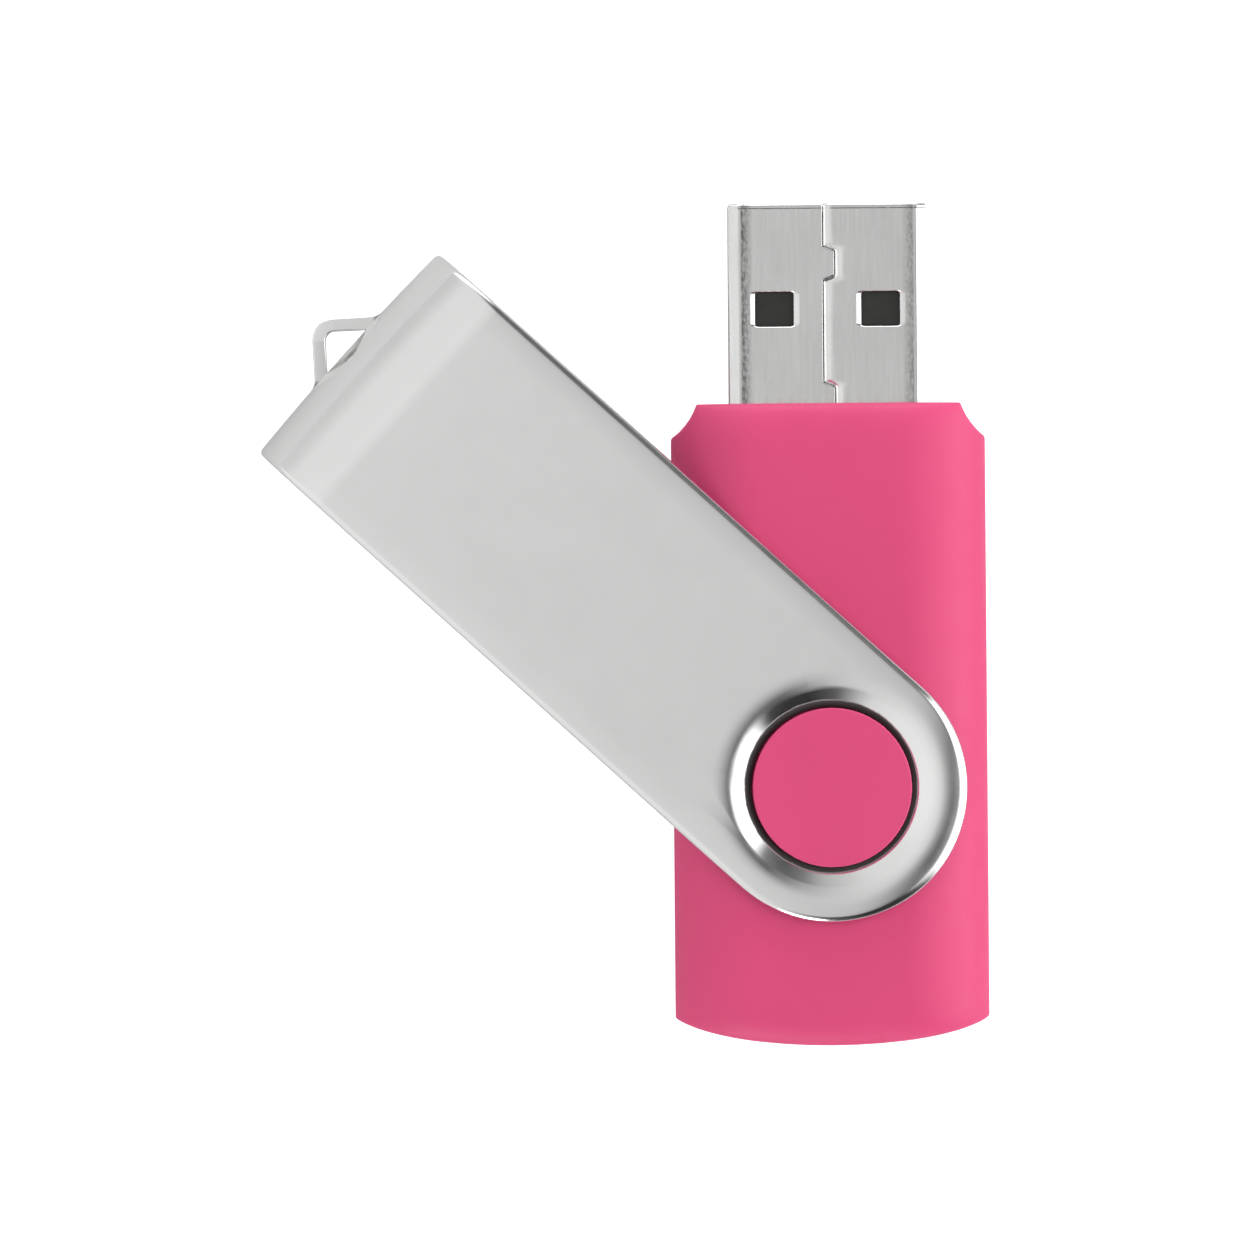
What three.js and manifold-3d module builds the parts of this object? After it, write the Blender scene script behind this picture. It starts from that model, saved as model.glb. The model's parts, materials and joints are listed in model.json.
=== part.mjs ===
// Swivel USB flash drive: a moulded housing in two halves with a USB-A plug and its circuit
// board, and a bent steel clip that turns a full circle about a round boss on each face.
// Millimetres. The drive lies flat, +Y runs out through the plug and +Z is up. The origin is
// on the swivel axis, level with the outer face of the clip's lower leg.
import * as THREE from 'three';
import { mergeVertices } from 'three/addons/utils/BufferGeometryUtils.js';
import Module from 'manifold-3d';

const wasm = await Module();
wasm.setup();

// Swivel clip: one strip of sheet steel bent into a U, with a dished hole in each leg
const CLIP_WIDTH = 16.3;
const CLIP_THICKNESS = 10.5;
const CLIP_SHEET = 0.8;
const CLIP_REACH = 39.4;
const CLIP_OPEN_ANGLE = THREE.MathUtils.degToRad(47.6);
const CLIP_HOLE_RADIUS = 5.1;
const DISH_RADIUS = 7.2;
const DISH_DEPTH = 0.55;
const MID_Z = CLIP_THICKNESS / 2;
const BEND_CENTRE = CLIP_REACH - CLIP_THICKNESS / 2;

// Key ring loop: a narrow bridge lanced out of the bend's sheet, a right-angled arch in plan
const LOOP_HALF_BASE = 3.05;
const LOOP_ROUND = 1.38;
const LOOP_WIDTH = 1.4;
const LOOP_ROOT = 0.5;

// Housing
const BODY_WIDTH = 19;
const BODY_LENGTH = 39;
const BODY_TAIL_Y = -15.7;
const BODY_FRONT_Y = BODY_TAIL_Y + BODY_LENGTH;
const BODY_GAP = 0.25;
const BODY_HALF_HEIGHT = CLIP_THICKNESS / 2 - CLIP_SHEET - BODY_GAP;
const BODY_SIDE_ROUND = 4;
const BODY_END_ROUND = 1.1;
const TAIL_BULGE = 2.7;
const TAIL_BULGE_HALF_WIDTH = 10.4;
const SCOOP_LENGTH = 2.25;
const SCOOP_DEPTH = 1.55;
const PARTING_GAP = 0.1;
const WALL = 1.2;
const BOSS_RADIUS = 4.78;
const BOSS_CORE_RADIUS = 3.4;
const GROOVE_RADIUS = 7.45;
const GROOVE_DEPTH = 0.6;
const POST_X = 7.5;
const POST_YS = [-11.3, 12.4];
const POST_RADIUS = 0.65;
const POST_HEIGHT = 1.4;
const POST_ROOT = 2.2;
const SOCKET_RADIUS = 1.2;
const SOCKET_BORE = 0.9;

// USB-A plug
const PLUG_WIDTH = 12;
const PLUG_HEIGHT = 4.5;
const PLUG_SHEET = 0.3;
const PLUG_CORNER = 0.65;
const PLUG_EXPOSED = 12.05;
const PLUG_HIDDEN = 6.3;
const PLUG_TIP_Y = BODY_FRONT_Y + PLUG_EXPOSED;
const PLUG_REAR_Y = BODY_FRONT_Y - PLUG_HIDDEN;
const WINDOW_X = 3.2;
const WINDOW_WIDTH = 2.8;
const WINDOW_LENGTH = 2.2;
const WINDOW_FROM_TIP = 6.4;
const SEAM_WIDTH = 0.12;
const TONGUE_THICKNESS = 1.8;
const TONGUE_SETBACK = 0.5;
const CONTACT_WIDTH = 1;
const CONTACT_THICKNESS = 0.2;
const CONTACTS = [
  { name: 'contact_vbus', x: 3.5, fromTip: 1.3 },
  { name: 'contact_data_minus', x: 1, fromTip: 2.3 },
  { name: 'contact_data_plus', x: -1, fromTip: 2.3 },
  { name: 'contact_ground', x: -3.5, fromTip: 1.3 }
];

// Circuit board, its top face just under the contacts' tails
const FIT = 0.05;
const BOARD_WIDTH = 13;
const BOARD_THICKNESS = 0.95;
const BOARD_TAIL_Y = BODY_TAIL_Y + 3;
const BOARD_FRONT_Y = PLUG_REAR_Y - FIT * 2;
const BOARD_NECK_WIDTH = 10.8;
const BOARD_NECK_LENGTH = 3.4;
const TAIL_LENGTH = 2.6;
const TONGUE_BOTTOM_Z = MID_Z + FIT;
const CONTACT_TOP_Z = TONGUE_BOTTOM_Z - FIT;
const CONTACT_BOTTOM_Z = CONTACT_TOP_Z - CONTACT_THICKNESS;
const BOARD_TOP_Z = CONTACT_BOTTOM_Z - FIT;
const BOARD_BOTTOM_Z = BOARD_TOP_Z - BOARD_THICKNESS;

// Looks of the materials
const PINK_PLASTIC = { color: 0xde5180, roughness: 0.35, metalness: 0 };
const CLIP_STEEL = { color: 0xc9c9c8, roughness: 0.2, metalness: 1 };
const PLUG_STEEL = { color: 0xbfbfbd, roughness: 0.25, metalness: 1 };
const BLACK_PLASTIC = { color: 0x3a3a37, roughness: 0.55, metalness: 0 };
const GOLD_PLATE = { color: 0xd9b45a, roughness: 0.25, metalness: 1 };
const BOARD_GREEN = { color: 0x1f6b3a, roughness: 0.5, metalness: 0 };
const CHIP_BLACK = { color: 0x222324, roughness: 0.6, metalness: 0 };
const CRYSTAL_CAN = { color: 0xc4c4c0, roughness: 0.3, metalness: 1 };
const CAPACITOR_TAN = { color: 0x9a7350, roughness: 0.5, metalness: 0 };
const RESISTOR_BLACK = { color: 0x1c1c1e, roughness: 0.5, metalness: 0 };
const LED_CLEAR = { color: 0xe8e4c8, roughness: 0.2, metalness: 0 };

// ---- shapes and solids ----

// A closed three.js geometry as a solid that can be joined and cut.
function solidOf(geometry) {
  geometry.deleteAttribute('normal');
  geometry.deleteAttribute('uv');
  const merged = mergeVertices(geometry, 1e-5);
  return new wasm.Manifold(new wasm.Mesh({
    numProp: 3,
    vertProperties: new Float32Array(merged.attributes.position.array),
    triVerts: new Uint32Array(merged.index.array)
  }));
}

function geometryOf(solid) {
  const mesh = solid.getMesh();
  const geometry = new THREE.BufferGeometry();
  geometry.setAttribute('position', new THREE.BufferAttribute(mesh.vertProperties, 3));
  geometry.setIndex(new THREE.BufferAttribute(mesh.triVerts, 1));
  geometry.computeVertexNormals();
  return geometry;
}

function block([x0, x1], [y0, y1], [z0, z1]) {
  const geometry = new THREE.BoxGeometry(x1 - x0, y1 - y0, z1 - z0);
  return solidOf(geometry.translate((x0 + x1) / 2, (y0 + y1) / 2, (z0 + z1) / 2));
}

// An upright round post.
function post(x, y, radius, [z0, z1], sides = 24) {
  const geometry = new THREE.CylinderGeometry(radius, radius, z1 - z0, sides);
  return solidOf(geometry.rotateX(Math.PI / 2).translate(x, y, (z0 + z1) / 2));
}

function extruded(shape, depth, curveSegments) {
  return new THREE.ExtrudeGeometry(shape, { depth, bevelEnabled: false, curveSegments });
}

// A shape in the XY plane, extruded upwards.
function alongZ(shape, [z0, z1], curveSegments = 12) {
  return solidOf(extruded(shape, z1 - z0, curveSegments).translate(0, 0, z0));
}

// A shape whose x and y become X and Z, extruded along Y.
function alongY(shape, [y0, y1], curveSegments = 12) {
  return solidOf(extruded(shape, y1 - y0, curveSegments).rotateX(Math.PI / 2).translate(0, y1, 0));
}

// A shape whose x and y become Y and Z, extruded along X.
function alongX(shape, [x0, x1], curveSegments = 12) {
  const axes = new THREE.Matrix4().makeBasis(
    new THREE.Vector3(0, 1, 0), new THREE.Vector3(0, 0, 1), new THREE.Vector3(1, 0, 0));
  return solidOf(extruded(shape, x1 - x0, curveSegments).applyMatrix4(axes).translate(x0, 0, 0));
}

function polygon(points) {
  return new THREE.Shape(points.map(([x, y]) => new THREE.Vector2(x, y)));
}

// A rectangle about (0, cy) whose corners are quarter ellipses.
function roundedRectangle(halfWidth, halfHeight, cornerX, cornerY, cy = 0) {
  const x = halfWidth - cornerX;
  const y = halfHeight - cornerY;
  const shape = new THREE.Shape();
  shape.absellipse(x, cy - y, cornerX, cornerY, -Math.PI / 2, 0);
  shape.absellipse(x, cy + y, cornerX, cornerY, 0, Math.PI / 2);
  shape.absellipse(-x, cy + y, cornerX, cornerY, Math.PI / 2, Math.PI);
  shape.absellipse(-x, cy - y, cornerX, cornerY, Math.PI, Math.PI * 1.5);
  return shape;
}

// The same solid turned over about the drive's middle plane.
function turnedOver(solid) {
  return solid.scale([-1, 1, -1]).translate([0, 0, CLIP_THICKNESS]);
}

function joined(solids) {
  return solids.reduce((whole, piece) => whole.add(piece));
}

function named(name, solid, look) {
  const mesh = new THREE.Mesh(geometryOf(solid), new THREE.MeshStandardMaterial(look));
  mesh.name = name;
  return mesh;
}

// ---- housing ----

// The housing seen from above: bulging tail, straight sides, scooped front corners.
function housingOutline() {
  const half = BODY_WIDTH / 2;
  const cornerTurn = Math.acos(half / TAIL_BULGE_HALF_WIDTH);
  const lip = half - SCOOP_DEPTH;
  const shape = new THREE.Shape();
  shape.absellipse(0, BODY_TAIL_Y + TAIL_BULGE, TAIL_BULGE_HALF_WIDTH, TAIL_BULGE,
    Math.PI + cornerTurn, Math.PI * 2 - cornerTurn);
  shape.lineTo(half, BODY_FRONT_Y - SCOOP_LENGTH);
  shape.quadraticCurveTo(half, BODY_FRONT_Y - 2, half - 0.25, BODY_FRONT_Y - 1.86);
  shape.quadraticCurveTo(lip + 0.4, BODY_FRONT_Y - 1.15, lip, BODY_FRONT_Y);
  shape.lineTo(-lip, BODY_FRONT_Y);
  shape.quadraticCurveTo(-lip - 0.4, BODY_FRONT_Y - 1.15, -half + 0.25, BODY_FRONT_Y - 1.86);
  shape.quadraticCurveTo(-half, BODY_FRONT_Y - 2, -half, BODY_FRONT_Y - SCOOP_LENGTH);
  return shape;
}

// The whole housing as if solid: section, plan and side view cut out of each other.
function housingBlank() {
  const halfLength = BODY_LENGTH / 2;
  const middleY = BODY_TAIL_Y + halfLength;
  const section = roundedRectangle(
    BODY_WIDTH / 2, BODY_HALF_HEIGHT, BODY_SIDE_ROUND, BODY_HALF_HEIGHT, MID_Z);
  const side = roundedRectangle(
    halfLength, BODY_HALF_HEIGHT, BODY_END_ROUND, BODY_END_ROUND, MID_Z);
  const reach = BODY_WIDTH;
  return alongY(section, [BODY_TAIL_Y - 1, BODY_FRONT_Y + 1], 4)
    .intersect(alongZ(housingOutline(), [0, CLIP_THICKNESS], 4))
    .intersect(alongX(side, [-reach, reach], 2).translate([0, middleY, 0]));
}

// The hollow for the board, and the opening that the plug comes out of.
function housingHollow() {
  const halfHeight = BODY_HALF_HEIGHT - WALL;
  const section = roundedRectangle(
    BODY_WIDTH / 2 - WALL, halfHeight, BODY_SIDE_ROUND - WALL, halfHeight, MID_Z);
  const opening = roundedRectangle(
    PLUG_WIDTH / 2 + 0.15, PLUG_HEIGHT / 2 + 0.15, PLUG_CORNER, PLUG_CORNER, MID_Z);
  const room = alongY(section, [BODY_TAIL_Y + 2.6, BODY_FRONT_Y - 1.5], 3);
  return room.add(alongY(opening, [BODY_FRONT_Y - 2, BODY_FRONT_Y + 1], 2));
}

// The lower half's plain shell with its round boss, cored from inside, and the ring groove
// that takes the clip's dished hole.
function halfShell() {
  const outerZ = MID_Z - BODY_HALF_HEIGHT;
  const room = BODY_LENGTH * 2;
  const lowerRoom = block([-room, room], [-room, room], [-1, MID_Z - PARTING_GAP / 2]);
  const groove = post(0, 0, GROOVE_RADIUS, [-1, outerZ + GROOVE_DEPTH], 40);
  const boss = post(0, 0, BOSS_RADIUS, [0, outerZ + WALL - 0.1], 40);
  const core = post(0, 0, BOSS_CORE_RADIUS, [WALL, outerZ + WALL + 0.5], 24);
  return housingBlank()
    .intersect(lowerRoom)
    .subtract(housingHollow())
    .subtract(groove)
    .add(boss)
    .subtract(core);
}

// Rails that the circuit board rests on or is held down by, and the rib behind the plug.
function boardRails(topZ) {
  const floorZ = MID_Z - BODY_HALF_HEIGHT + WALL - 0.3;
  const rails = [-1, 1].map((side) => block(
    [side * 5.6 - 0.4, side * 5.6 + 0.4], [BOARD_TAIL_Y + 1, 11], [floorZ, topZ]));
  const plugRib = block([-5.2, 5.2], [PLUG_REAR_Y - 1.2, PLUG_REAR_Y - 0.3], [floorZ, topZ]);
  return joined([...rails, plugRib]);
}

function postSpots() {
  return POST_YS.flatMap((y) => [[-POST_X, y], [POST_X, y]]);
}

function housingBottom() {
  const posts = postSpots().map(([x, y]) => post(
    x, y, POST_RADIUS, [MID_Z - POST_ROOT, MID_Z + POST_HEIGHT], 12));
  return joined([halfShell(), boardRails(BOARD_BOTTOM_Z - FIT), ...posts]);
}

// The upper half, made as a lower half and turned over.
function housingTop() {
  const rim = MID_Z - PARTING_GAP / 2;
  const railTopZ = CLIP_THICKNESS - BOARD_TOP_Z - 1.6;
  const bosses = postSpots().map(([x, y]) => post(
    x, y, SOCKET_RADIUS, [MID_Z - POST_ROOT, rim], 12));
  const bores = postSpots().map(([x, y]) => post(
    x, y, SOCKET_BORE, [MID_Z - POST_HEIGHT - 0.3, rim + 1], 12));
  const shell = joined([halfShell(), boardRails(railTopZ), ...bosses]);
  return turnedOver(shell.subtract(joined(bores)));
}

// ---- plug ----

// The zigzag joint where the two edges of the plug's rolled sheet meet on its upper face.
function seamCut() {
  const jog = (x0, x1, from, to) => block(
    [x0, x1], [PLUG_TIP_Y - to, PLUG_TIP_Y - from],
    [MID_Z + PLUG_HEIGHT / 2 - PLUG_SHEET - 0.5, MID_Z + PLUG_HEIGHT / 2 + 0.5]);
  const w = SEAM_WIDTH / 2;
  const left = -0.33;
  const right = 0.38;
  return joined([
    jog(left - w, left + w, -1, 2.7 + w),
    jog(left - w, right + w, 2.7 - w, 2.7 + w),
    jog(right - w, right + w, 2.7 - w, 4.5 + w),
    jog(left - w, right + w, 4.5 - w, 4.5 + w),
    jog(left - w, left + w, 4.5 - w, 11 + w),
    jog(left - w, right + w, 11 - w, 11 + w),
    jog(right - w, right + w, 11 - w, PLUG_EXPOSED + PLUG_HIDDEN + 1)
  ]);
}

function plugShell() {
  const outer = roundedRectangle(
    PLUG_WIDTH / 2, PLUG_HEIGHT / 2, PLUG_CORNER, PLUG_CORNER, MID_Z);
  const inner = roundedRectangle(
    PLUG_WIDTH / 2 - PLUG_SHEET, PLUG_HEIGHT / 2 - PLUG_SHEET,
    PLUG_CORNER - PLUG_SHEET, PLUG_CORNER - PLUG_SHEET, MID_Z);
  const windowY = PLUG_TIP_Y - WINDOW_FROM_TIP;
  const windows = [-WINDOW_X, WINDOW_X].map((x) => block(
    [x - WINDOW_WIDTH / 2, x + WINDOW_WIDTH / 2],
    [windowY - WINDOW_LENGTH / 2, windowY + WINDOW_LENGTH / 2], [0, CLIP_THICKNESS]));
  const ears = [-1, 1].map((side) => block(
    [side * (PLUG_WIDTH / 2 - PLUG_SHEET / 2) - PLUG_SHEET / 2,
      side * (PLUG_WIDTH / 2 - PLUG_SHEET / 2) + PLUG_SHEET / 2],
    [PLUG_REAR_Y - TAIL_LENGTH, PLUG_REAR_Y + 1], [MID_Z - 1.5, MID_Z + 0.4]));
  return alongY(outer, [PLUG_REAR_Y, PLUG_TIP_Y], 2)
    .subtract(alongY(inner, [PLUG_REAR_Y - 1, PLUG_TIP_Y + 1], 2))
    .subtract(joined(windows))
    .subtract(seamCut())
    .add(joined(ears));
}

// The plug's moulded insulator: a block that fills the hidden stretch, and the tongue.
function plugInsulator() {
  const clearance = 0.1;
  const halfWidth = PLUG_WIDTH / 2 - PLUG_SHEET - clearance;
  const topZ = MID_Z + PLUG_HEIGHT / 2 - PLUG_SHEET - clearance;
  const bottomZ = MID_Z - PLUG_HEIGHT / 2 + PLUG_SHEET + clearance;
  const rearY = PLUG_REAR_Y + 0.3;
  const cornerless = roundedRectangle(halfWidth, (topZ - bottomZ) / 2, 0.3, 0.3, MID_Z);
  const tongueTip = PLUG_TIP_Y - TONGUE_SETBACK;
  const tongue = polygon([
    [BODY_FRONT_Y - 1, TONGUE_BOTTOM_Z], [tongueTip - 0.8, TONGUE_BOTTOM_Z],
    [tongueTip, TONGUE_BOTTOM_Z + 0.35], [tongueTip, TONGUE_BOTTOM_Z + TONGUE_THICKNESS],
    [BODY_FRONT_Y - 1, TONGUE_BOTTOM_Z + TONGUE_THICKNESS]
  ]);
  const slots = CONTACTS.map(({ x }) => block(
    [x - CONTACT_WIDTH / 2 - FIT, x + CONTACT_WIDTH / 2 + FIT],
    [rearY - 1, BODY_FRONT_Y + 1], [CONTACT_BOTTOM_Z - FIT, CONTACT_TOP_Z + FIT]));
  return alongY(cornerless, [rearY, BODY_FRONT_Y + 0.2], 1)
    .add(alongX(tongue, [-halfWidth + 0.25, halfWidth - 0.25]))
    .subtract(joined(slots));
}

// One flat contact: its blade under the tongue, its tail on the circuit board.
function contact({ x, fromTip }) {
  const tailY = PLUG_REAR_Y - TAIL_LENGTH;
  const tipY = PLUG_TIP_Y - fromTip;
  const half = CONTACT_WIDTH / 2;
  const blade = polygon([
    [x - half, tailY], [x + half, tailY], [x + half, tipY - 0.4],
    [x + half - 0.25, tipY], [x - half + 0.25, tipY], [x - half, tipY - 0.4]
  ]);
  return alongZ(blade, [CONTACT_BOTTOM_Z, CONTACT_TOP_Z]);
}

// ---- circuit board and what is soldered to it ----

function circuitBoard() {
  const half = BOARD_WIDTH / 2;
  const neck = BOARD_NECK_WIDTH / 2;
  const neckY = BOARD_FRONT_Y - BOARD_NECK_LENGTH;
  const tail = BOARD_TAIL_Y;
  const outline = polygon([
    [-half, tail + 0.8], [-half + 0.8, tail], [half - 0.8, tail], [half, tail + 0.8],
    [half, neckY], [neck, neckY], [neck, BOARD_FRONT_Y],
    [-neck, BOARD_FRONT_Y], [-neck, neckY], [-half, neckY]
  ]);
  return alongZ(outline, [BOARD_BOTTOM_Z, BOARD_TOP_Z]);
}

// A gull-wing lead at x, leaving a package's end at y in the direction given by out.
function gullWingLead(x, y, out, baseZ, bodyMidZ) {
  const t = 0.13;
  const profile = polygon([
    [-0.2, bodyMidZ], [0.25, bodyMidZ], [0.4, baseZ], [0.8, baseZ],
    [0.8, baseZ + t], [0.5, baseZ + t], [0.35, bodyMidZ + t], [-0.2, bodyMidZ + t]
  ]);
  const lead = alongX(profile, [x - 0.11, x + 0.11]);
  return (out < 0 ? lead.rotate([0, 0, 180]).translate([2 * x, 0, 0]) : lead).translate([0, y, 0]);
}

// A flat memory package with rows of leads on its two short ends.
function flashMemoryChip() {
  const width = 12;
  const length = 18.4;
  const centreY = 2.4;
  const pitch = 0.5;
  const perEnd = 24;
  const baseZ = BOARD_TOP_Z + FIT;
  const bodyMidZ = baseZ + 0.5;
  const ends = [centreY - length / 2, centreY + length / 2];
  const leads = [-1, 1].flatMap((out, end) => Array.from({ length: perEnd }, (_, i) => gullWingLead(
    (i - (perEnd - 1) / 2) * pitch, ends[end], out, baseZ, bodyMidZ)));
  const body = block([-width / 2, width / 2], ends, [baseZ + 0.1, baseZ + 1.1]);
  const pinOneDimple = post(-width / 2 + 1.2, ends[1] - 1.2, 0.5, [baseZ + 1, baseZ + 2], 16);
  return joined([body, ...leads]).subtract(pinOneDimple);
}

// The leadless controller package under the board, one corner bevelled to mark pin one.
function controllerChip() {
  const half = 3;
  const centreY = 6.5;
  const topZ = BOARD_BOTTOM_Z - FIT;
  const outline = polygon([
    [-half, centreY - half], [half, centreY - half], [half, centreY + half],
    [-half + 0.6, centreY + half], [-half, centreY + half - 0.6]
  ]);
  return alongZ(outline, [topZ - 0.85, topZ]);
}

// A crystal in a metal can with a stepped lid, on the board's upper face.
function crystal() {
  const baseZ = BOARD_TOP_Z + FIT;
  const base = block([-4.6, -1.4], [-12, -7.9 - 1.6], [baseZ, baseZ + 0.5]);
  const lid = block([-4.4, -1.6], [-11.8, -9.7], [baseZ + 0.4, baseZ + 0.95]);
  return base.add(lid);
}

// A small two-ended chip part lying along X, its end caps slightly proud.
function chipPart(x, y, length, baseZ) {
  const width = length / 2;
  const height = length / 3;
  const cap = length / 5;
  const lip = 0.04;
  const bodyBlock = block(
    [x - length / 2 + 0.1, x + length / 2 - 0.1], [y - width / 2 + lip, y + width / 2 - lip],
    [baseZ + lip, baseZ + height - lip]);
  const caps = [[x - length / 2, x - length / 2 + cap], [x + length / 2 - cap, x + length / 2]]
    .map((span) => block(span, [y - width / 2, y + width / 2], [baseZ, baseZ + height]));
  return joined([bodyBlock, ...caps]);
}

// The activity light: a chip base with a domed lens.
function statusLed() {
  const baseZ = BOARD_TOP_Z + FIT;
  const base = chipPart(4.3, -11.5, 1.6, baseZ);
  const dome = new THREE.SphereGeometry(0.42, 10, 6).translate(4.3, -11.5, baseZ + 0.5);
  return base.add(solidOf(dome));
}

function smallParts() {
  const top = BOARD_TOP_Z + FIT;
  const under = (length) => BOARD_BOTTOM_Z - FIT - length / 3;
  const small = 1;
  const large = 1.6;
  return [
    ['led_resistor', [1.7, -11.5, large, top], RESISTOR_BLACK],
    ['data_resistor_1', [-2.6, 11.6, small, under(small)], RESISTOR_BLACK],
    ['data_resistor_2', [2.6, 11.6, small, under(small)], RESISTOR_BLACK],
    ['crystal_capacitor_1', [-3, -5.8, small, under(small)], CAPACITOR_TAN],
    ['crystal_capacitor_2', [-3, -7.4, small, under(small)], CAPACITOR_TAN],
    ['decoupling_capacitor_1', [0, 0.8, large, under(large)], CAPACITOR_TAN],
    ['decoupling_capacitor_2', [3, 0.8, large, under(large)], CAPACITOR_TAN],
    ['decoupling_capacitor_3', [1.8, -5.8, large, under(large)], CAPACITOR_TAN],
    ['decoupling_capacitor_4', [1.8, -7.8, large, under(large)], CAPACITOR_TAN]
  ].map(([name, place, look]) => named(name, chipPart(...place), look));
}

// ---- swivel clip, made along +Y and turned to its place ----

// The dished ring round one hole: flat at its rim, rolling down to the hole's edge.
function dishedRing() {
  const roll = (r) => DISH_DEPTH * (1 - THREE.MathUtils.smoothstep(r, 5.4, DISH_RADIUS));
  const steps = 5;
  const span = DISH_RADIUS + 0.1 - CLIP_HOLE_RADIUS;
  const radii = Array.from({ length: steps + 1 }, (_, i) => CLIP_HOLE_RADIUS + span * i / steps);
  const outerFace = radii.map((r) => new THREE.Vector2(r, roll(r)));
  const innerFace = radii.map((r) => new THREE.Vector2(r, roll(r) + CLIP_SHEET)).reverse();
  const profile = [...outerFace, ...innerFace, outerFace[0].clone()];
  return solidOf(new THREE.LatheGeometry(profile, 40).rotateX(Math.PI / 2));
}

function clipSideShape() {
  const tail = -CLIP_WIDTH;
  const shape = new THREE.Shape();
  shape.moveTo(tail, 0);
  shape.lineTo(BEND_CENTRE, 0);
  shape.absarc(BEND_CENTRE, MID_Z, MID_Z, -Math.PI / 2, Math.PI / 2, false);
  shape.lineTo(tail, CLIP_THICKNESS);
  shape.lineTo(tail, CLIP_THICKNESS - CLIP_SHEET);
  shape.lineTo(BEND_CENTRE, CLIP_THICKNESS - CLIP_SHEET);
  shape.absarc(BEND_CENTRE, MID_Z, MID_Z - CLIP_SHEET, Math.PI / 2, -Math.PI / 2, true);
  shape.lineTo(tail, CLIP_SHEET);
  return shape;
}

// The clip from above: round about the swivel axis, straight to the bend.
function clipOutline() {
  const half = CLIP_WIDTH / 2;
  const shape = new THREE.Shape();
  shape.absarc(0, 0, half, Math.PI, Math.PI * 2, false);
  shape.lineTo(half, CLIP_REACH + 1);
  shape.lineTo(-half, CLIP_REACH + 1);
  return shape;
}

// The arch of the key ring loop, its legs at 45 degrees, starting inside the bend's sheet.
function loopOutline() {
  const slope = Math.PI / 4;
  const innerHalfBase = LOOP_HALF_BASE - CLIP_SHEET * Math.SQRT2;
  const innerRound = LOOP_ROUND - CLIP_SHEET;
  const arcY = CLIP_REACH + LOOP_HALF_BASE - LOOP_ROUND * Math.SQRT2;
  const rootY = CLIP_REACH - LOOP_ROOT;
  const shape = new THREE.Shape();
  shape.moveTo(LOOP_HALF_BASE + LOOP_ROOT, rootY);
  shape.absarc(0, arcY, LOOP_ROUND, slope, Math.PI - slope, false);
  shape.lineTo(-LOOP_HALF_BASE - LOOP_ROOT, rootY);
  shape.lineTo(-innerHalfBase - LOOP_ROOT, rootY);
  shape.absarc(0, arcY, innerRound, Math.PI - slope, slope, true);
  shape.lineTo(innerHalfBase + LOOP_ROOT, rootY);
  return shape;
}

function swivelClip() {
  const half = CLIP_WIDTH / 2;
  const strip = alongX(clipSideShape(), [-half - 1, half + 1], 9)
    .intersect(alongZ(clipOutline(), [-1, CLIP_THICKNESS + 1], 12));
  const ringHoles = post(0, 0, DISH_RADIUS, [-1, CLIP_THICKNESS + 1], 40);
  const slotHalf = LOOP_HALF_BASE - CLIP_SHEET * Math.SQRT2 - FIT;
  const slotHeight = LOOP_WIDTH / 2 + FIT;
  const slot = block([-slotHalf, slotHalf], [CLIP_REACH - CLIP_SHEET * 2, CLIP_REACH + 1],
    [MID_Z - slotHeight, MID_Z + slotHeight]);
  const loop = alongZ(loopOutline(), [MID_Z - LOOP_WIDTH / 2, MID_Z + LOOP_WIDTH / 2], 6);
  const ring = dishedRing();
  return strip
    .subtract(ringHoles)
    .add(ring)
    .add(turnedOver(ring))
    .subtract(slot)
    .add(loop);
}

// ---- the assembly ----

const drive = new THREE.Group();
drive.add(named('housing_bottom', housingBottom(), PINK_PLASTIC));
drive.add(named('housing_top', housingTop(), PINK_PLASTIC));
drive.add(named('plug_shell', plugShell(), PLUG_STEEL));
drive.add(named('plug_insulator', plugInsulator(), BLACK_PLASTIC));
CONTACTS.forEach((spec) => drive.add(named(spec.name, contact(spec), GOLD_PLATE)));
drive.add(named('circuit_board', circuitBoard(), BOARD_GREEN));
drive.add(named('flash_memory_chip', flashMemoryChip(), CHIP_BLACK));
drive.add(named('controller_chip', controllerChip(), CHIP_BLACK));
drive.add(named('crystal', crystal(), CRYSTAL_CAN));
drive.add(named('status_led', statusLed(), LED_CLEAR));
smallParts().forEach((piece) => drive.add(piece));

const clip = new THREE.Group();
clip.rotation.z = CLIP_OPEN_ANGLE;
clip.add(named('swivel_clip', swivelClip(), CLIP_STEEL));

const group = new THREE.Group();
group.add(drive, clip);

export default group;
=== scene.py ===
import json
import math

import bmesh
import bpy
from mathutils import Matrix, Vector


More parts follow.
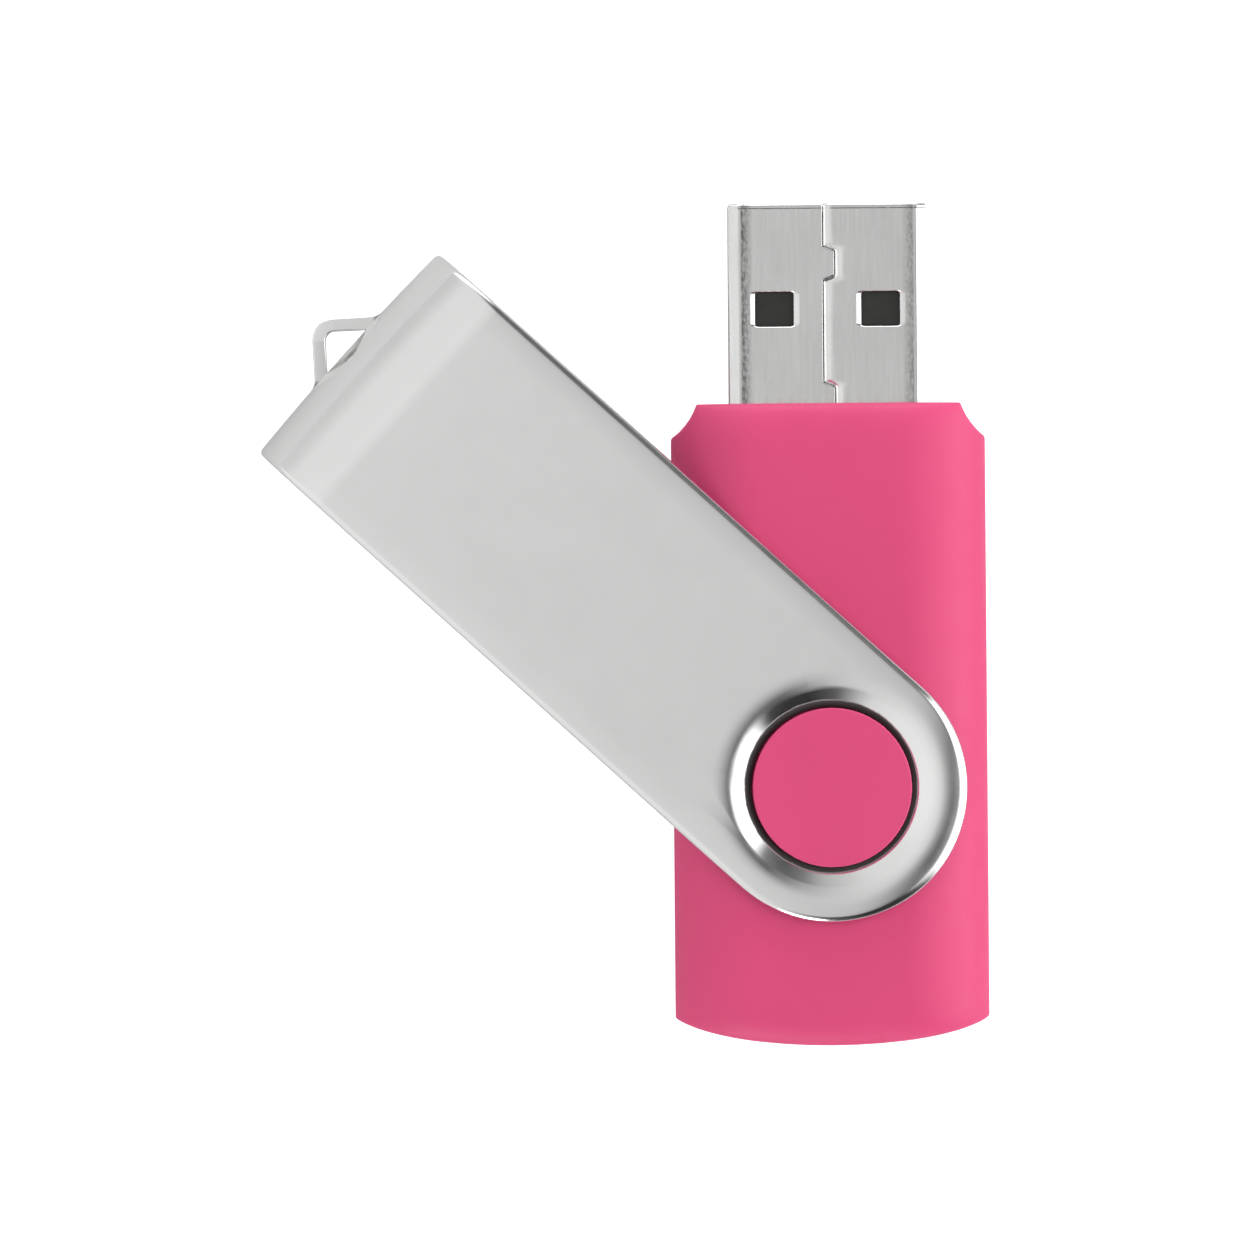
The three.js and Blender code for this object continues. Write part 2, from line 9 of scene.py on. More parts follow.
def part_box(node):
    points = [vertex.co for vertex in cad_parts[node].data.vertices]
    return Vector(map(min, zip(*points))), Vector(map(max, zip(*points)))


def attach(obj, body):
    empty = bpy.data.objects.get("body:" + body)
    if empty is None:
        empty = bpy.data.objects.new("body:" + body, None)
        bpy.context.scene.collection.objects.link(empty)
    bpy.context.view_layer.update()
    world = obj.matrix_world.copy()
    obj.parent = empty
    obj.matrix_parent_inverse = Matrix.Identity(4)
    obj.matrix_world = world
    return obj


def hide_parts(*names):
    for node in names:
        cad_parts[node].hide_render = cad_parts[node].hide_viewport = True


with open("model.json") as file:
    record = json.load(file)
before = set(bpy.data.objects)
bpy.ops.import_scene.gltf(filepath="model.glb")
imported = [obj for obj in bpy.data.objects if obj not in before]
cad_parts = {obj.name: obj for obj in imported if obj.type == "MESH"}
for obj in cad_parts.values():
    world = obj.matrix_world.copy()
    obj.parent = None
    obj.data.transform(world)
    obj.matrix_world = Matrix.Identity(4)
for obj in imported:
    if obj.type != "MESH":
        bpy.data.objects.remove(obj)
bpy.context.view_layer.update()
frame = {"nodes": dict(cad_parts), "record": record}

# Everything below is in millimetres until a mesh is made; MM turns it into metres.
MM = 0.001


def box_mm(node):
    low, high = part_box(node)
    return low / MM, high / MM


# ---- sizes read from the frame ----
CLIP_LOW, CLIP_HIGH = box_mm("swivel_clip")
LOWER_LOW, LOWER_HIGH = box_mm("housing_bottom")
THICKNESS = CLIP_HIGH.z - CLIP_LOW.z
MID_Z = (CLIP_HIGH.z + CLIP_LOW.z) / 2

# ---- clip: u runs across its strip, and s along it from the swivel axis ----
CLIP_ANGLE = math.radians(47.6)
SHEET = 0.8
HALF_STRIP = 8.15
REACH = 39.4
BEND_RADIUS = THICKNESS / 2
BEND_Y = REACH - BEND_RADIUS
CROWN = 0.19  # how far the bend bulges at mid-strip

# The hole, whose centre lies at HOLE_S, and the dish round it.
HOLE_RADIUS, HOLE_S = 4.78, 0.1
HOLE_ROLL_WIDTH, HOLE_ROLL_DEPTH = 0.34, 0.45
DISH_DEPTH = 0.56
DISH_INNER, DISH_OUTER = 4.95, 7.3
DISH_POWER = 2.8

# The strip's edge: a gentle lead, then a roll, which is wider at the round end and tighter
# round the bend. SIDE_LEAD is the share of the lead that the straight sides keep.
EDGE_BAND = 2.1
EDGE_LEAD_WIDTH, EDGE_LEAD_DROP = 1.5, 0.12
EDGE_ROLL_WIDTH, EDGE_ROLL_DEPTH = 0.38, 0.4
END_ROLL_WIDTH = 0.54
BEND_ROLL_WIDTH, BEND_ROLL_DEPTH = 0.34, 0.3
ROLL_CHANGE_FROM, ROLL_CHANGE_TO = math.radians(6), math.radians(32)
SIDE_LEAD = 0.2
LEAD_FADE_S, LEAD_FADE_U = (-6.0, 0.0), (-5.0, 1.0)
INNER_ROLL = 0.12

# ---- key ring loop, lanced out of the bend ----
LOOP_HALF_BASE = 2.88
LOOP_ROUND = 1.38
LOOP_FILLET = 0.9
LOOP_HALF_WIDTH = 0.7
LOOP_CORNER = 0.1
LOOP_RISE = 0.5  # height above the bend at which its corners are fully rounded
LOOP_ZONE = 3.75

# ---- clip mesh: a patch round each hole, then rows along the legs and round the bend ----
PATCH_HALF, PATCH_END = HALF_STRIP - EDGE_BAND, 9.0
ROUND_END_STEPS = 48
SIDE_ROWS = 24
LEG_ROWS = 8
BEND_ROWS = 11
RING_ROWS = 9
RING_MARGIN = 0.1
RING_SHARES = (0.07, 0.14, 0.22, 0.3, 0.38, 0.46, 1.0)

# ---- housing ----
# Its fine surface stands out this far from the CAD solid at the sides, and in at the ends.
SIDE_OUT, TAIL_IN, FRONT_IN = 0.05, 0.05, 0.08
BODY_HALF_WIDTH = LOWER_HIGH.x + SIDE_OUT
TAIL_Y, FRONT_Y = LOWER_LOW.y + TAIL_IN, LOWER_HIGH.y - FRONT_IN
BODY_HALF_HEIGHT = 4.2
FLAT_HALF_WIDTH = 4.4
TAIL_BULGE, TAIL_BULGE_HALF_WIDTH, TAIL_BULGE_FADE = 2.7, 10.4, 13
TAIL_ROUND_LENGTH, TAIL_ROUND_DROP = 2.9, 1.5
FRONT_ROUND_LENGTH, FRONT_ROUND_DROP = 2.4, 0.95
END_CORNER = 0.12
WALL = 1.2

# The front corners' scoops. SCOOP_MIDDLE is the hollow's control point: how far back, and out.
SCOOP_LENGTH, SCOOP_DEPTH = 2.25, 1.55
SCOOP_HOLLOW_LENGTH = 1.86
SCOOP_MIDDLE = (1.15, 0.4)
SCOOP_SHOULDER, SCOOP_CLEAR = 0.25, 0.3
SCOOP_BLEND = 0.22
SCOOP_SIDE_SHARE = 0.35
CREASE_LEAST = math.radians(5)

# The parting line between the halves, which meet inside a shallow groove.
PARTING_HALF_GAP = 0.03
PARTING_CHAMFER = 0.1
PARTING_CHAMFER_WIDTH = PARTING_CHAMFER * 0.8
PARTING_GROOVE = 0.32

# The boss and the ring groove that the clip's dished rim runs in.
BOSS_RADIUS, BOSS_EDGE, BOSS_NECK = 4.8, 0.1, 4.35
BOSS_HEAD, BOSS_SKIRT, BOSS_TOP = 0.3, 0.16, 3.0
GROOVE_RADIUS, GROOVE_DEPTH = 7.45, 0.6
GROOVE_RIM, GROOVE_FLARE = 0.25, 0.02

# The room inside for the board, and the mouth for the plug.
ROOM_CORNER, ROOM_FLAT = FLAT_HALF_WIDTH * 0.5, 0.01
ROOM_TAIL_WALL, ROOM_FRONT_WALL = 2.6, 1.5
MOUTH_CLEARANCE, MOUTH_DEPTH = 0.12, 2
# A cutter stands out past the surface, and its rolled rim is lifted off it a hair, so that no
# face of the cutter lies in a face of the piece.
CUTTER_PAST = 1
GROOVE_LIFT, WINDOW_LIFT = 0.003, 0.004
LATHE_TURNS = 72

# ---- plug ----
PLUG_HALF_WIDTH, PLUG_HALF_HEIGHT = 6.0, 2.25
PLUG_SHEET, PLUG_CORNER = 0.3, 0.75
PLUG_REAR_Y = box_mm("plug_insulator")[0].y - PLUG_SHEET
PLUG_TIP_Y = box_mm("plug_shell")[1].y
PLUG_BEVEL = math.radians(25)
PLUG_BEVEL_RUN, PLUG_BEVEL_ROUND, PLUG_SIDE_ROUND = 0.42, 0.35, 0.16
LIP_LENGTH, LIP_DROP = 0.26, 0.17
LIP_RIDGE, LIP_RIDGE_END = 0.03, 0.34

# Its windows, with edges rolled inwards.
WINDOW_X, WINDOW_FROM_TIP = 3.22, 6.4
WINDOW_HALF_WIDTH, WINDOW_HALF_LENGTH = 1.14, 1.02
WINDOW_CORNER, WINDOW_ROLL_X, WINDOW_ROLL_Y = 0.2, 0.48, 0.1
WINDOW_ROLL_DEPTH = 0.24
WINDOW_CUTTER_ABOVE, WINDOW_CUTTER_BELOW = 0.4, 1.0

# Its zigzag seam: x of each run, and how far from the tip the seam jogs over to it.
SEAM_RUNS = ((-0.27, 0.0), (0.44, 2.75), (-0.27, 4.5), (0.44, 11.0))
JOG_HALF_LENGTH = 0.2
SEAM_GAP = 0.045
SEAM_ROLL_WIDTH, SEAM_ROLL_DEPTH = 0.42, 0.26
SEAM_CRISP = 0.02
SEAM_STEPS = 50  # points for each millimetre of the seam's path
SEAM_WINDOW = 40  # points before and after a place, among which the nearest is looked for

# Plug mesh: distances of its rows from the tip, besides those at the lip and the jogs, and of
# its columns to the right and left of the seam.
PLUG_ROWS = [1.2, 1.9, 3.6, 6.0, 8.0, 9.6, 12.0]
SEAM_RIGHT = (0.0, 0.01, 0.03, 0.06, 0.1, 0.15, 0.21, 0.28, 0.36, 0.46, 0.6, 0.8, 1.05, 1.35)
SEAM_LEFT = (0.0, 0.01, 0.03, 0.06, 0.15, 0.4, 0.8, 1.35)

# ---- marks in the materials ----
# From the hole's edge outwards, the dark ring of painted shade round each hole ends between these.
HOLE_SHADE_RIM = (0.39, 0.5)
# Distances from the plug's middle between which the painted shade line beside each bent corner
# fades in and out.
CORNER_SHADE_IN, CORNER_SHADE_OUT = (4.5, 5.1), (5.17, 5.28)

# ---- stage and camera ----
FLOOR_HALF, FLOOR_Z = 3000.0, -0.05
VIEW_CENTRE, VIEW_WIDTH, VIEW_DISTANCE = (-12.42, 9.9), 75.988, 600.0
VIEW_ROLL = math.radians(0.47)
SENSOR_WIDTH = 36
VIEW_CLIP_END = 20  # in metres


# ---- mesh tools ----

class Patches:
    """Grids of points that are stitched into one mesh."""

    def __init__(self):
        self.points = []
        self.faces = []

    def grid(self, rows, wrap=False, skip=None):
        """Adds a grid. wrap joins each row's end to its start, and skip(row, column) says which
        quads are left out."""
        start, columns = len(self.points), len(rows[0])
        for row in rows:
            self.points.extend(row)
        for r in range(len(rows) - 1):
            for c in range(columns if wrap else columns - 1):
                if skip and skip(r, c):
                    continue
                d = (c + 1) % columns
                low, high = start + r * columns, start + (r + 1) * columns
                self.faces.append((low + c, low + d, high + d, high + c))

    def polygon(self, points):
        start = len(self.points)
        self.points.extend(points)
        self.faces.append(tuple(range(start, start + len(points))))

    def mesh(self, name, weld=0.002):
        mesh = bpy.data.meshes.new(name)
        mesh.from_pydata([Vector(p) * MM for p in self.points], [], self.faces)
        bm = bmesh.new()
        bm.from_mesh(mesh)
        bmesh.ops.remove_doubles(bm, verts=bm.verts, dist=weld * MM)
        bmesh.ops.recalc_face_normals(bm, faces=bm.faces)
        bm.to_mesh(mesh)
        bm.free()
        return mesh


def linked(name, mesh):
    thing = bpy.data.objects.new(name, mesh)
    bpy.context.scene.collection.objects.link(thing)
    return thing


def finished(thing, material, body, nodes, sharp):
    """Shades a piece, gives it its material and ties it to the CAD frame. Edges that turn by
    more than sharp degrees stay crisp."""
    thing.data.shade_smooth()
    thing.data.set_sharp_from_angle(angle=math.radians(sharp))
    weigh_normals(thing.data)
    thing.data.materials.clear()
    thing.data.materials.append(material)
    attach(thing, body)
    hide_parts(*nodes)
    return thing


def weigh_normals(mesh):
    """Sets each corner's normal from its smooth neighbours, weighed by their area, so that large
    flat faces stay flat where they meet small rounded ones."""
    bm = bmesh.new()
    bm.from_mesh(mesh)
    bm.faces.ensure_lookup_table()
    areas = [face.calc_area() for face in bm.faces]
    normals = [Vector((0, 0, 1))] * sum(len(face.loops) for face in bm.faces)
    starts = [polygon.loop_start for polygon in mesh.polygons]
    for vertex in bm.verts:
        waiting = set(face.index for face in vertex.link_faces)
        while waiting:
            fan, found = [], [waiting.pop()]
            while found:
                index = found.pop()
                fan.append(index)
                for edge in bm.faces[index].edges:
                    if vertex in edge.verts and edge.smooth:
                        for other in edge.link_faces:
                            if other.index in waiting:
                                waiting.discard(other.index)
                                found.append(other.index)
            total = Vector()
            for index in fan:
                total += bm.faces[index].normal * areas[index]
            total.normalize()
            for index in fan:
                for place, corner in enumerate(bm.faces[index].verts):
                    if corner == vertex:
                        normals[starts[index] + place] = total
    bm.free()
    mesh.normals_split_custom_set(normals)


def combined(thing, steps):
    """Cuts or joins other meshes: steps are pairs of an operation and a mesh."""
    tools = []
    for operation, mesh in steps:
        tool = linked("tool", mesh)
        tools.append(tool)
        modifier = thing.modifiers.new("combine", "BOOLEAN")
        modifier.operation = operation
        modifier.solver = "EXACT"
        modifier.object = tool
    bpy.context.view_layer.update()
    result = bpy.data.meshes.new_from_object(
        thing.evaluated_get(bpy.context.evaluated_depsgraph_get()))
    thing.modifiers.clear()
    thing.data = result
    for tool in tools:
        bpy.data.objects.remove(tool)
    return thing


def smoothstep(low, high, x):
    t = min(1.0, max(0.0, (x - low) / (high - low)))
    return t * t * (3 - 2 * t)


def spaced(low, high, count):
    return [low + (high - low) * i / count for i in range(count + 1)]


def quarter(width, depth, steps):
    """Points (inset, drop) of a rounded edge, from the flat face to the vertical side."""
    turns = [math.pi / 2 * i / steps for i in range(steps + 1)]
    return [(width * (1 - math.sin(t)), depth * (1 - math.cos(t))) for t in turns]


def sheet_edge(roll_width, roll_depth, lead, band):
    """The edge of the clip's sheet as (inset, depth) points: a gentle slope that leads into the
    rolled outside edge, then straight, and lightly rounded inside."""
    lead_drop = EDGE_LEAD_DROP * lead
    edge = [(band, 0.0)]
    if band > roll_width:
        edge += [(roll_width + EDGE_LEAD_WIDTH * (1 - share), lead_drop * share ** 2)
                 for share in spaced(0, 1, 9)[:-1]]
    slope = 2 * lead_drop / EDGE_LEAD_WIDTH
    start = math.atan(slope * roll_width / (roll_depth - lead_drop))
    for t in spaced(start, math.pi / 2, 9):
        fall = (math.cos(start) - math.cos(t)) / math.cos(start)
        edge.append((roll_width * (1 - math.sin(t)) / (1 - math.sin(start)),
                     lead_drop + (roll_depth - lead_drop) * fall))
    edge += [(inset, SHEET - drop) for inset, drop in reversed(quarter(INNER_ROLL, INNER_ROLL, 3))]
    return edge + [(band, SHEET)]


def lathe(profile):
    """A closed surface of revolution about the swivel axis, from (radius, z) points. No corner
    lies on the Y axis, where the housing has an edge."""
    body = Patches()
    angles = [2 * math.pi * (i + 0.5) / LATHE_TURNS for i in range(LATHE_TURNS)]
    rows = [[(radius * math.cos(a), radius * math.sin(a), z) for a in angles]
            for radius, z in profile]
    body.grid(rows, wrap=True)
    if profile[0][0] > 0:
        body.polygon(rows[0])
    if profile[-1][0] > 0:
        body.polygon(rows[-1])
    return body.mesh("lathe")


# ---- swivel clip ----

def strip_point(u, s, turn, depth):
    """A point of the bent strip. u runs across and s along it. turn is -90 degrees on the lower
    leg and 90 on the upper one, and depth is how far below the outer face the point lies."""
    on_leg = abs(abs(turn) - math.pi / 2) < 1e-9
    if on_leg:
        reach = min(1.0, (DISH_OUTER - math.hypot(u, s)) / (DISH_OUTER - DISH_INNER))
        depth += DISH_DEPTH * max(0.0, reach) ** DISH_POWER
    radius = BEND_RADIUS - depth
    crown = 0 if on_leg else CROWN * (1 - (u / HALF_STRIP) ** 2) * math.cos(turn)
    return (u, s + radius * math.cos(turn) + crown, MID_Z + radius * math.sin(turn))


SIDE_STOPS = spaced(0, PATCH_END, SIDE_ROWS)
LEG_STOPS = spaced(PATCH_END, BEND_Y, LEG_ROWS)
COLUMNS = sorted([side * u for u in (0.95, 1.9, 2.8, LOOP_ZONE, 4.6, 5.35, PATCH_HALF)
                  for side in (-1, 1)] + [0])
SLIT_TURN = math.asin(LOOP_HALF_WIDTH / BEND_RADIUS)
BEND_TURNS = (spaced(-math.pi / 2, -SLIT_TURN, BEND_ROWS) + [0]
              + spaced(SLIT_TURN, math.pi / 2, BEND_ROWS))


def strip_stations():
    """(s, turn) from the lower leg's patch round the bend to the upper leg's patch."""
    lower = [(s, -math.pi / 2) for s in LEG_STOPS[:-1]]
    bend = [(BEND_Y, turn) for turn in BEND_TURNS]
    upper = [(s, math.pi / 2) for s in reversed(LEG_STOPS[:-1])]
    return lower + bend + upper


def round_end(radius):
    """Points of the round end about the swivel axis, from the left side to the right."""
    return [(radius * math.cos(a), radius * math.sin(a))
            for a in spaced(math.pi, 2 * math.pi, ROUND_END_STEPS)]


def patch_boundary():
    """The outer edge of the patch round one hole, anticlockwise from the left side."""
    edge = round_end(PATCH_HALF)[:-1]
    edge += [(PATCH_HALF, s) for s in SIDE_STOPS[:-1]]
    edge += [(u, PATCH_END) for u in reversed(COLUMNS)]
    edge += [(-PATCH_HALF, s) for s in reversed(SIDE_STOPS[1:-1])]
    return edge


def ring_patch(body, turn, depth):
    """The face round one hole: true circles over the dish, then out to the strip's edge."""
    boundary = patch_boundary()
    first, last = HOLE_RADIUS + HOLE_ROLL_WIDTH, PATCH_HALF - RING_MARGIN
    rows = []
    for radius in spaced(first, last, RING_ROWS):
        shift = HOLE_S * (last - radius) / (last - first)
        ring = [Vector(point).normalized() * radius for point in boundary]
        rows.append([strip_point(p.x, p.y + shift, turn, depth) for p in ring])
    for share in RING_SHARES:
        ring = [Vector(p).normalized() * last * (1 - share) + Vector(p) * share for p in boundary]
        rows.append([strip_point(p.x, p.y, turn, depth) for p in ring])
    body.grid(rows, wrap=True)


def hole_edge(body, turn):
    """The punched hole's rolled edge, from the outer face down to the inner one."""
    profile = sheet_edge(HOLE_ROLL_WIDTH, HOLE_ROLL_DEPTH, 0, HOLE_ROLL_WIDTH)
    rows = []
    for outset, depth in profile[1:]:
        ring = [Vector(point).normalized() * (HOLE_RADIUS + outset) for point in patch_boundary()]
        rows.append([strip_point(p.x, p.y + HOLE_S, turn, depth) for p in ring])
    body.grid(rows, wrap=True)


def perimeter(body):
    """The strip's rolled edge, once round the whole clip."""
    down, up = -math.pi / 2, math.pi / 2
    stations = [(u, s, u, s, down) for u, s in round_end(1.0)[:-1]]
    stations = [(HALF_STRIP * u, HALF_STRIP * s, -u, -s, turn) for u, s, _, _, turn in stations]
    side = ([(s, down) for s in SIDE_STOPS[:-1]] + strip_stations()
            + [(s, up) for s in reversed(SIDE_STOPS[:-1])])
    stations += [(HALF_STRIP, s, -1, 0, turn) for s, turn in side]
    stations += [(HALF_STRIP * u, HALF_STRIP * s, -u, -s, up)
                 for u, s in reversed(round_end(1.0)[1:-1])]
    stations += [(-HALF_STRIP, s, 1, 0, turn) for s, turn in reversed(side)]
    columns = []
    for u, s, nu, ns, turn in stations:
        full = 1 - smoothstep(ROLL_CHANGE_FROM, ROLL_CHANGE_TO, math.pi / 2 - abs(turn))
        lead = (1 - smoothstep(*LEAD_FADE_S, s)) * smoothstep(*LEAD_FADE_U, u)
        lead = SIDE_LEAD * full + (1 - SIDE_LEAD) * lead
        width = (BEND_ROLL_WIDTH + (EDGE_ROLL_WIDTH - BEND_ROLL_WIDTH) * full
                 + (END_ROLL_WIDTH - EDGE_ROLL_WIDTH) * lead)
        edge = sheet_edge(width, BEND_ROLL_DEPTH + (EDGE_ROLL_DEPTH - BEND_ROLL_DEPTH) * full,
                          lead, EDGE_BAND)
        columns.append([strip_point(u + nu * inset, s + ns * inset, turn, depth)
                        for inset, depth in edge])
    body.grid(list(zip(*columns)), wrap=True)


def loop_curve():
    """Outer curve of the lanced loop: points (u, height) and their normals, left to right."""
    slope = math.pi / 4
    run = LOOP_FILLET * math.tan(slope / 2)
    curve = [((-LOOP_ZONE, 0.0), (0.0, 1.0))]
    centre = (-LOOP_HALF_BASE - run, LOOP_FILLET)
    for a in spaced(0, slope, 5):
        normal = (-math.sin(a), math.cos(a))
        curve.append(((centre[0] - LOOP_FILLET * normal[0], centre[1] - LOOP_FILLET * normal[1]),
                      normal))
    top = LOOP_HALF_BASE - LOOP_ROUND * math.sqrt(2)
    for a in spaced(math.pi - slope, math.pi / 2, 8):
        normal = (math.cos(a), math.sin(a))
        curve.append(((LOOP_ROUND * normal[0], top + LOOP_ROUND * normal[1]), normal))
    mirrored = [((-u, h), (-nu, nh)) for (u, h), (nu, nh) in reversed(curve[:-1])]
    return curve + mirrored


def loop_section(point, normal):
    """One ring of the loop's bar. Its corners are sharp where it leaves the bend's sheet."""
    rise = smoothstep(0.0, LOOP_RISE, point[1])
    corner = LOOP_CORNER * rise
    width, half = LOOP_HALF_WIDTH, SHEET / 2
    ring = []
    for across, along in ((1, 1), (-1, 1), (-1, -1), (1, -1)):
        if along * across < 0:
            turns = spaced(0, math.pi / 2, 3)
        else:
            turns = spaced(math.pi / 2, 0, 3)
        for t in turns:
            z = along * (width - corner * (1 - math.cos(t)))
            out = across * (half - corner * (1 - math.sin(t)))
            ring.append((z, out - half))
    outer_middle, inner_middle = (0.0, 0.0), (0.0, -SHEET)
    ring = [outer_middle] + ring[:8] + [inner_middle] + ring[8:]
    placed = []
    for z, out in ring:
        shrink = 1 - (1 - rise) * (-out / BEND_RADIUS)
        z *= shrink
        base = math.sqrt((BEND_RADIUS * shrink) ** 2 - z * z) - BEND_RADIUS * shrink
        u = point[0] + normal[0] * out
        crown = CROWN * (1 - (u / HALF_STRIP) ** 2)
        placed.append((u, REACH + point[1] + normal[1] * out + base + crown, MID_Z + z))
    return placed


def loop(body):
    body.grid([loop_section(point, normal) for point, normal in loop_curve()], wrap=True)


def clip_mesh():
    body = Patches()
    stations = strip_stations()
    middle = stations.index((BEND_Y, 0))
    zone = [i for i, u in enumerate(COLUMNS[:-1]) if -LOOP_ZONE <= u < LOOP_ZONE]

    def in_loop(row, column):
        return row in (middle - 1, middle) and column in zone

    for depth in (0, SHEET):
        body.grid([[strip_point(u, s, turn, depth) for u in COLUMNS] for s, turn in stations],
                  skip=in_loop)
        for turn in (-math.pi / 2, math.pi / 2):
            ring_patch(body, turn, depth)
    for turn in (-math.pi / 2, math.pi / 2):
        hole_edge(body, turn)
    perimeter(body)
    slit = [COLUMNS[i] for i in zone] + [LOOP_ZONE]
    for turn in (-SLIT_TURN, SLIT_TURN):
        body.grid([[strip_point(u, BEND_Y, turn, depth) for u in slit] for depth in (0, SHEET)])
    loop(body)
    mesh = body.mesh("swivel_clip_visual")
    mesh.transform(Matrix.Rotation(CLIP_ANGLE, 4, "Z"))
    return mesh


# ---- housing ----

def soft_min(a, b):
    """The smaller of two lengths, blended where they are nearly the same."""
    near = max(SCOOP_BLEND - abs(a - b), 0) / SCOOP_BLEND
    return min(a, b) - near * near * SCOOP_BLEND / 4


def scoop_limit(y):
    """Half width that the front corner's scoop leaves at y."""
    back = FRONT_Y - y
    if back >= SCOOP_LENGTH:
        return BODY_HALF_WIDTH + SCOOP_CLEAR
    if back >= SCOOP_HOLLOW_LENGTH:
        share = (SCOOP_LENGTH - back) / (SCOOP_LENGTH - SCOOP_HOLLOW_LENGTH)
        return BODY_HALF_WIDTH + SCOOP_CLEAR * (1 - share) - SCOOP_SHOULDER * share * share
    # A quadratic curve from the front face to the shoulder. t is where it lies this far back.
    middle_back, middle_out = SCOOP_MIDDLE
    a, b = SCOOP_HOLLOW_LENGTH - 2 * middle_back, 2 * middle_back
    t = (-b + math.sqrt(b * b + 4 * a * back)) / (2 * a)
    lip = BODY_HALF_WIDTH - SCOOP_DEPTH
    return ((1 - t) ** 2 * lip + 2 * t * (1 - t) * (lip + middle_out)
            + t * t * (BODY_HALF_WIDTH - SCOOP_SHOULDER))


def half_section(y, inset, side_inset):
    """Points (x, height above the parting plane) from the right side over to the left."""
    height = BODY_HALF_HEIGHT - inset
    side = BODY_HALF_WIDTH - side_inset - FLAT_HALF_WIDTH
    limit = scoop_limit(y) - side_inset * SCOOP_SIDE_SHARE
    share = min(1.0, max(0.0, (limit - FLAT_HALF_WIDTH) / side))
    crease = max(math.acos(share), CREASE_LEAST)
    start = math.asin((PARTING_HALF_GAP + PARTING_CHAMFER) / height)
    turns = spaced(start, crease, 6) + spaced(crease, math.pi / 2, 14)[1:]
    right = [(soft_min(FLAT_HALF_WIDTH + side * math.cos(t), limit), height * math.sin(t))
             for t in turns]
    seam = (right[0][0] - PARTING_CHAMFER_WIDTH, PARTING_HALF_GAP)
    flat = [(x, height) for x in spaced(FLAT_HALF_WIDTH, -FLAT_HALF_WIDTH, 6)[1:-1]]
    left = [(-x, z) for x, z in reversed(right)]
    return [seam] + right + flat + left + [(-seam[0], seam[1])]


def tail_drop(x):
    """How far the tail's bulge has fallen back at x."""
    return TAIL_BULGE * (1 - math.sqrt(1 - (x / TAIL_BULGE_HALF_WIDTH) ** 2))


def end_station(end, inwards, length, drop, turn):
    """(y, top inset, side inset) on a rounded end."""
    back = length * (1 - math.sin(turn))
    corner = max(0.0, 1 - back / END_CORNER)
    return (end + inwards * back, drop * (1 - math.cos(turn)),
            END_CORNER * (1 - math.sqrt(1 - corner * corner)))


def housing_stations():
    """(y on the centre line, top inset, side inset) from the tail's end to the front face."""
    tail = [end_station(TAIL_Y, 1, TAIL_ROUND_LENGTH, TAIL_ROUND_DROP, t)
            for t in spaced(math.pi / 2, 0, 18)]
    middle = [(y, 0.0, 0.0)
              for y in spaced(tail[-1][0], FRONT_Y - FRONT_ROUND_LENGTH, 14)[1:-1]]
    front = [end_station(FRONT_Y, -1, FRONT_ROUND_LENGTH, FRONT_ROUND_DROP, t)
             for t in spaced(0, math.pi / 2, 26)]
    return tail + middle + front


def housing_blank(up):
    """One half of the housing as if solid, above (up = 1) or below the parting plane."""
    rows = []
    for y, inset, side_inset in housing_stations():
        fade = 1 - smoothstep(TAIL_Y + TAIL_ROUND_LENGTH, TAIL_Y + TAIL_BULGE_FADE, y)
        rows.append([(x, y + tail_drop(x) * fade, MID_Z + up * z)
                     for x, z in half_section(y, inset, side_inset)])
    body = Patches()
    body.grid(rows)
    foot = [(x, y, MID_Z + up * PARTING_HALF_GAP) for x, y, _ in rows[0]]
    body.grid([foot, rows[0]])
    body.polygon(rows[-1])
    # The halves meet inside the rim, so that the gap between them is only a shallow groove.
    rim = [row[0] for row in rows] + [row[-1] for row in reversed(rows)] + foot[-2:0:-1]
    middle = (TAIL_Y + FRONT_Y) / 2
    scale_x = 1 - PARTING_GROOVE / BODY_HALF_WIDTH
    scale_y = 1 - PARTING_GROOVE / (FRONT_Y - middle)
    step, core = ([(x * scale_x, middle + (y - middle) * scale_y, MID_Z + up * z)
                   for x, y, _ in rim] for z in (PARTING_HALF_GAP, 0))
    body.grid([rim, step, core], wrap=True)
    body.polygon(core)
    return body.mesh("housing_blank", weld=0.0005)


def prism(outline, y0, y1):
    """A closed prism along Y from (x, z) points."""
    body = Patches()
    rows = [[(x, y, z) for x, z in outline] for y in (y0, y1)]
    body.grid(rows, wrap=True)
    body.polygon(rows[0])
    body.polygon(rows[1])
    return body.mesh("prism")


def rounded_outline(half_width, half_height, corner_x, corner_z):
    """(x, z) points of a rounded rectangle about the middle of the drive."""
    outline = []
    for cx, cz, first in ((1, 1, 0), (-1, 1, 1), (-1, -1, 2), (1, -1, 3)):
        for a in spaced(first * math.pi / 2, (first + 1) * math.pi / 2, 6):
            outline.append((cx * (half_width - corner_x) + corner_x * math.cos(a),
                            MID_Z + cz * (half_height - corner_z) + corner_z * math.sin(a)))
    return outline


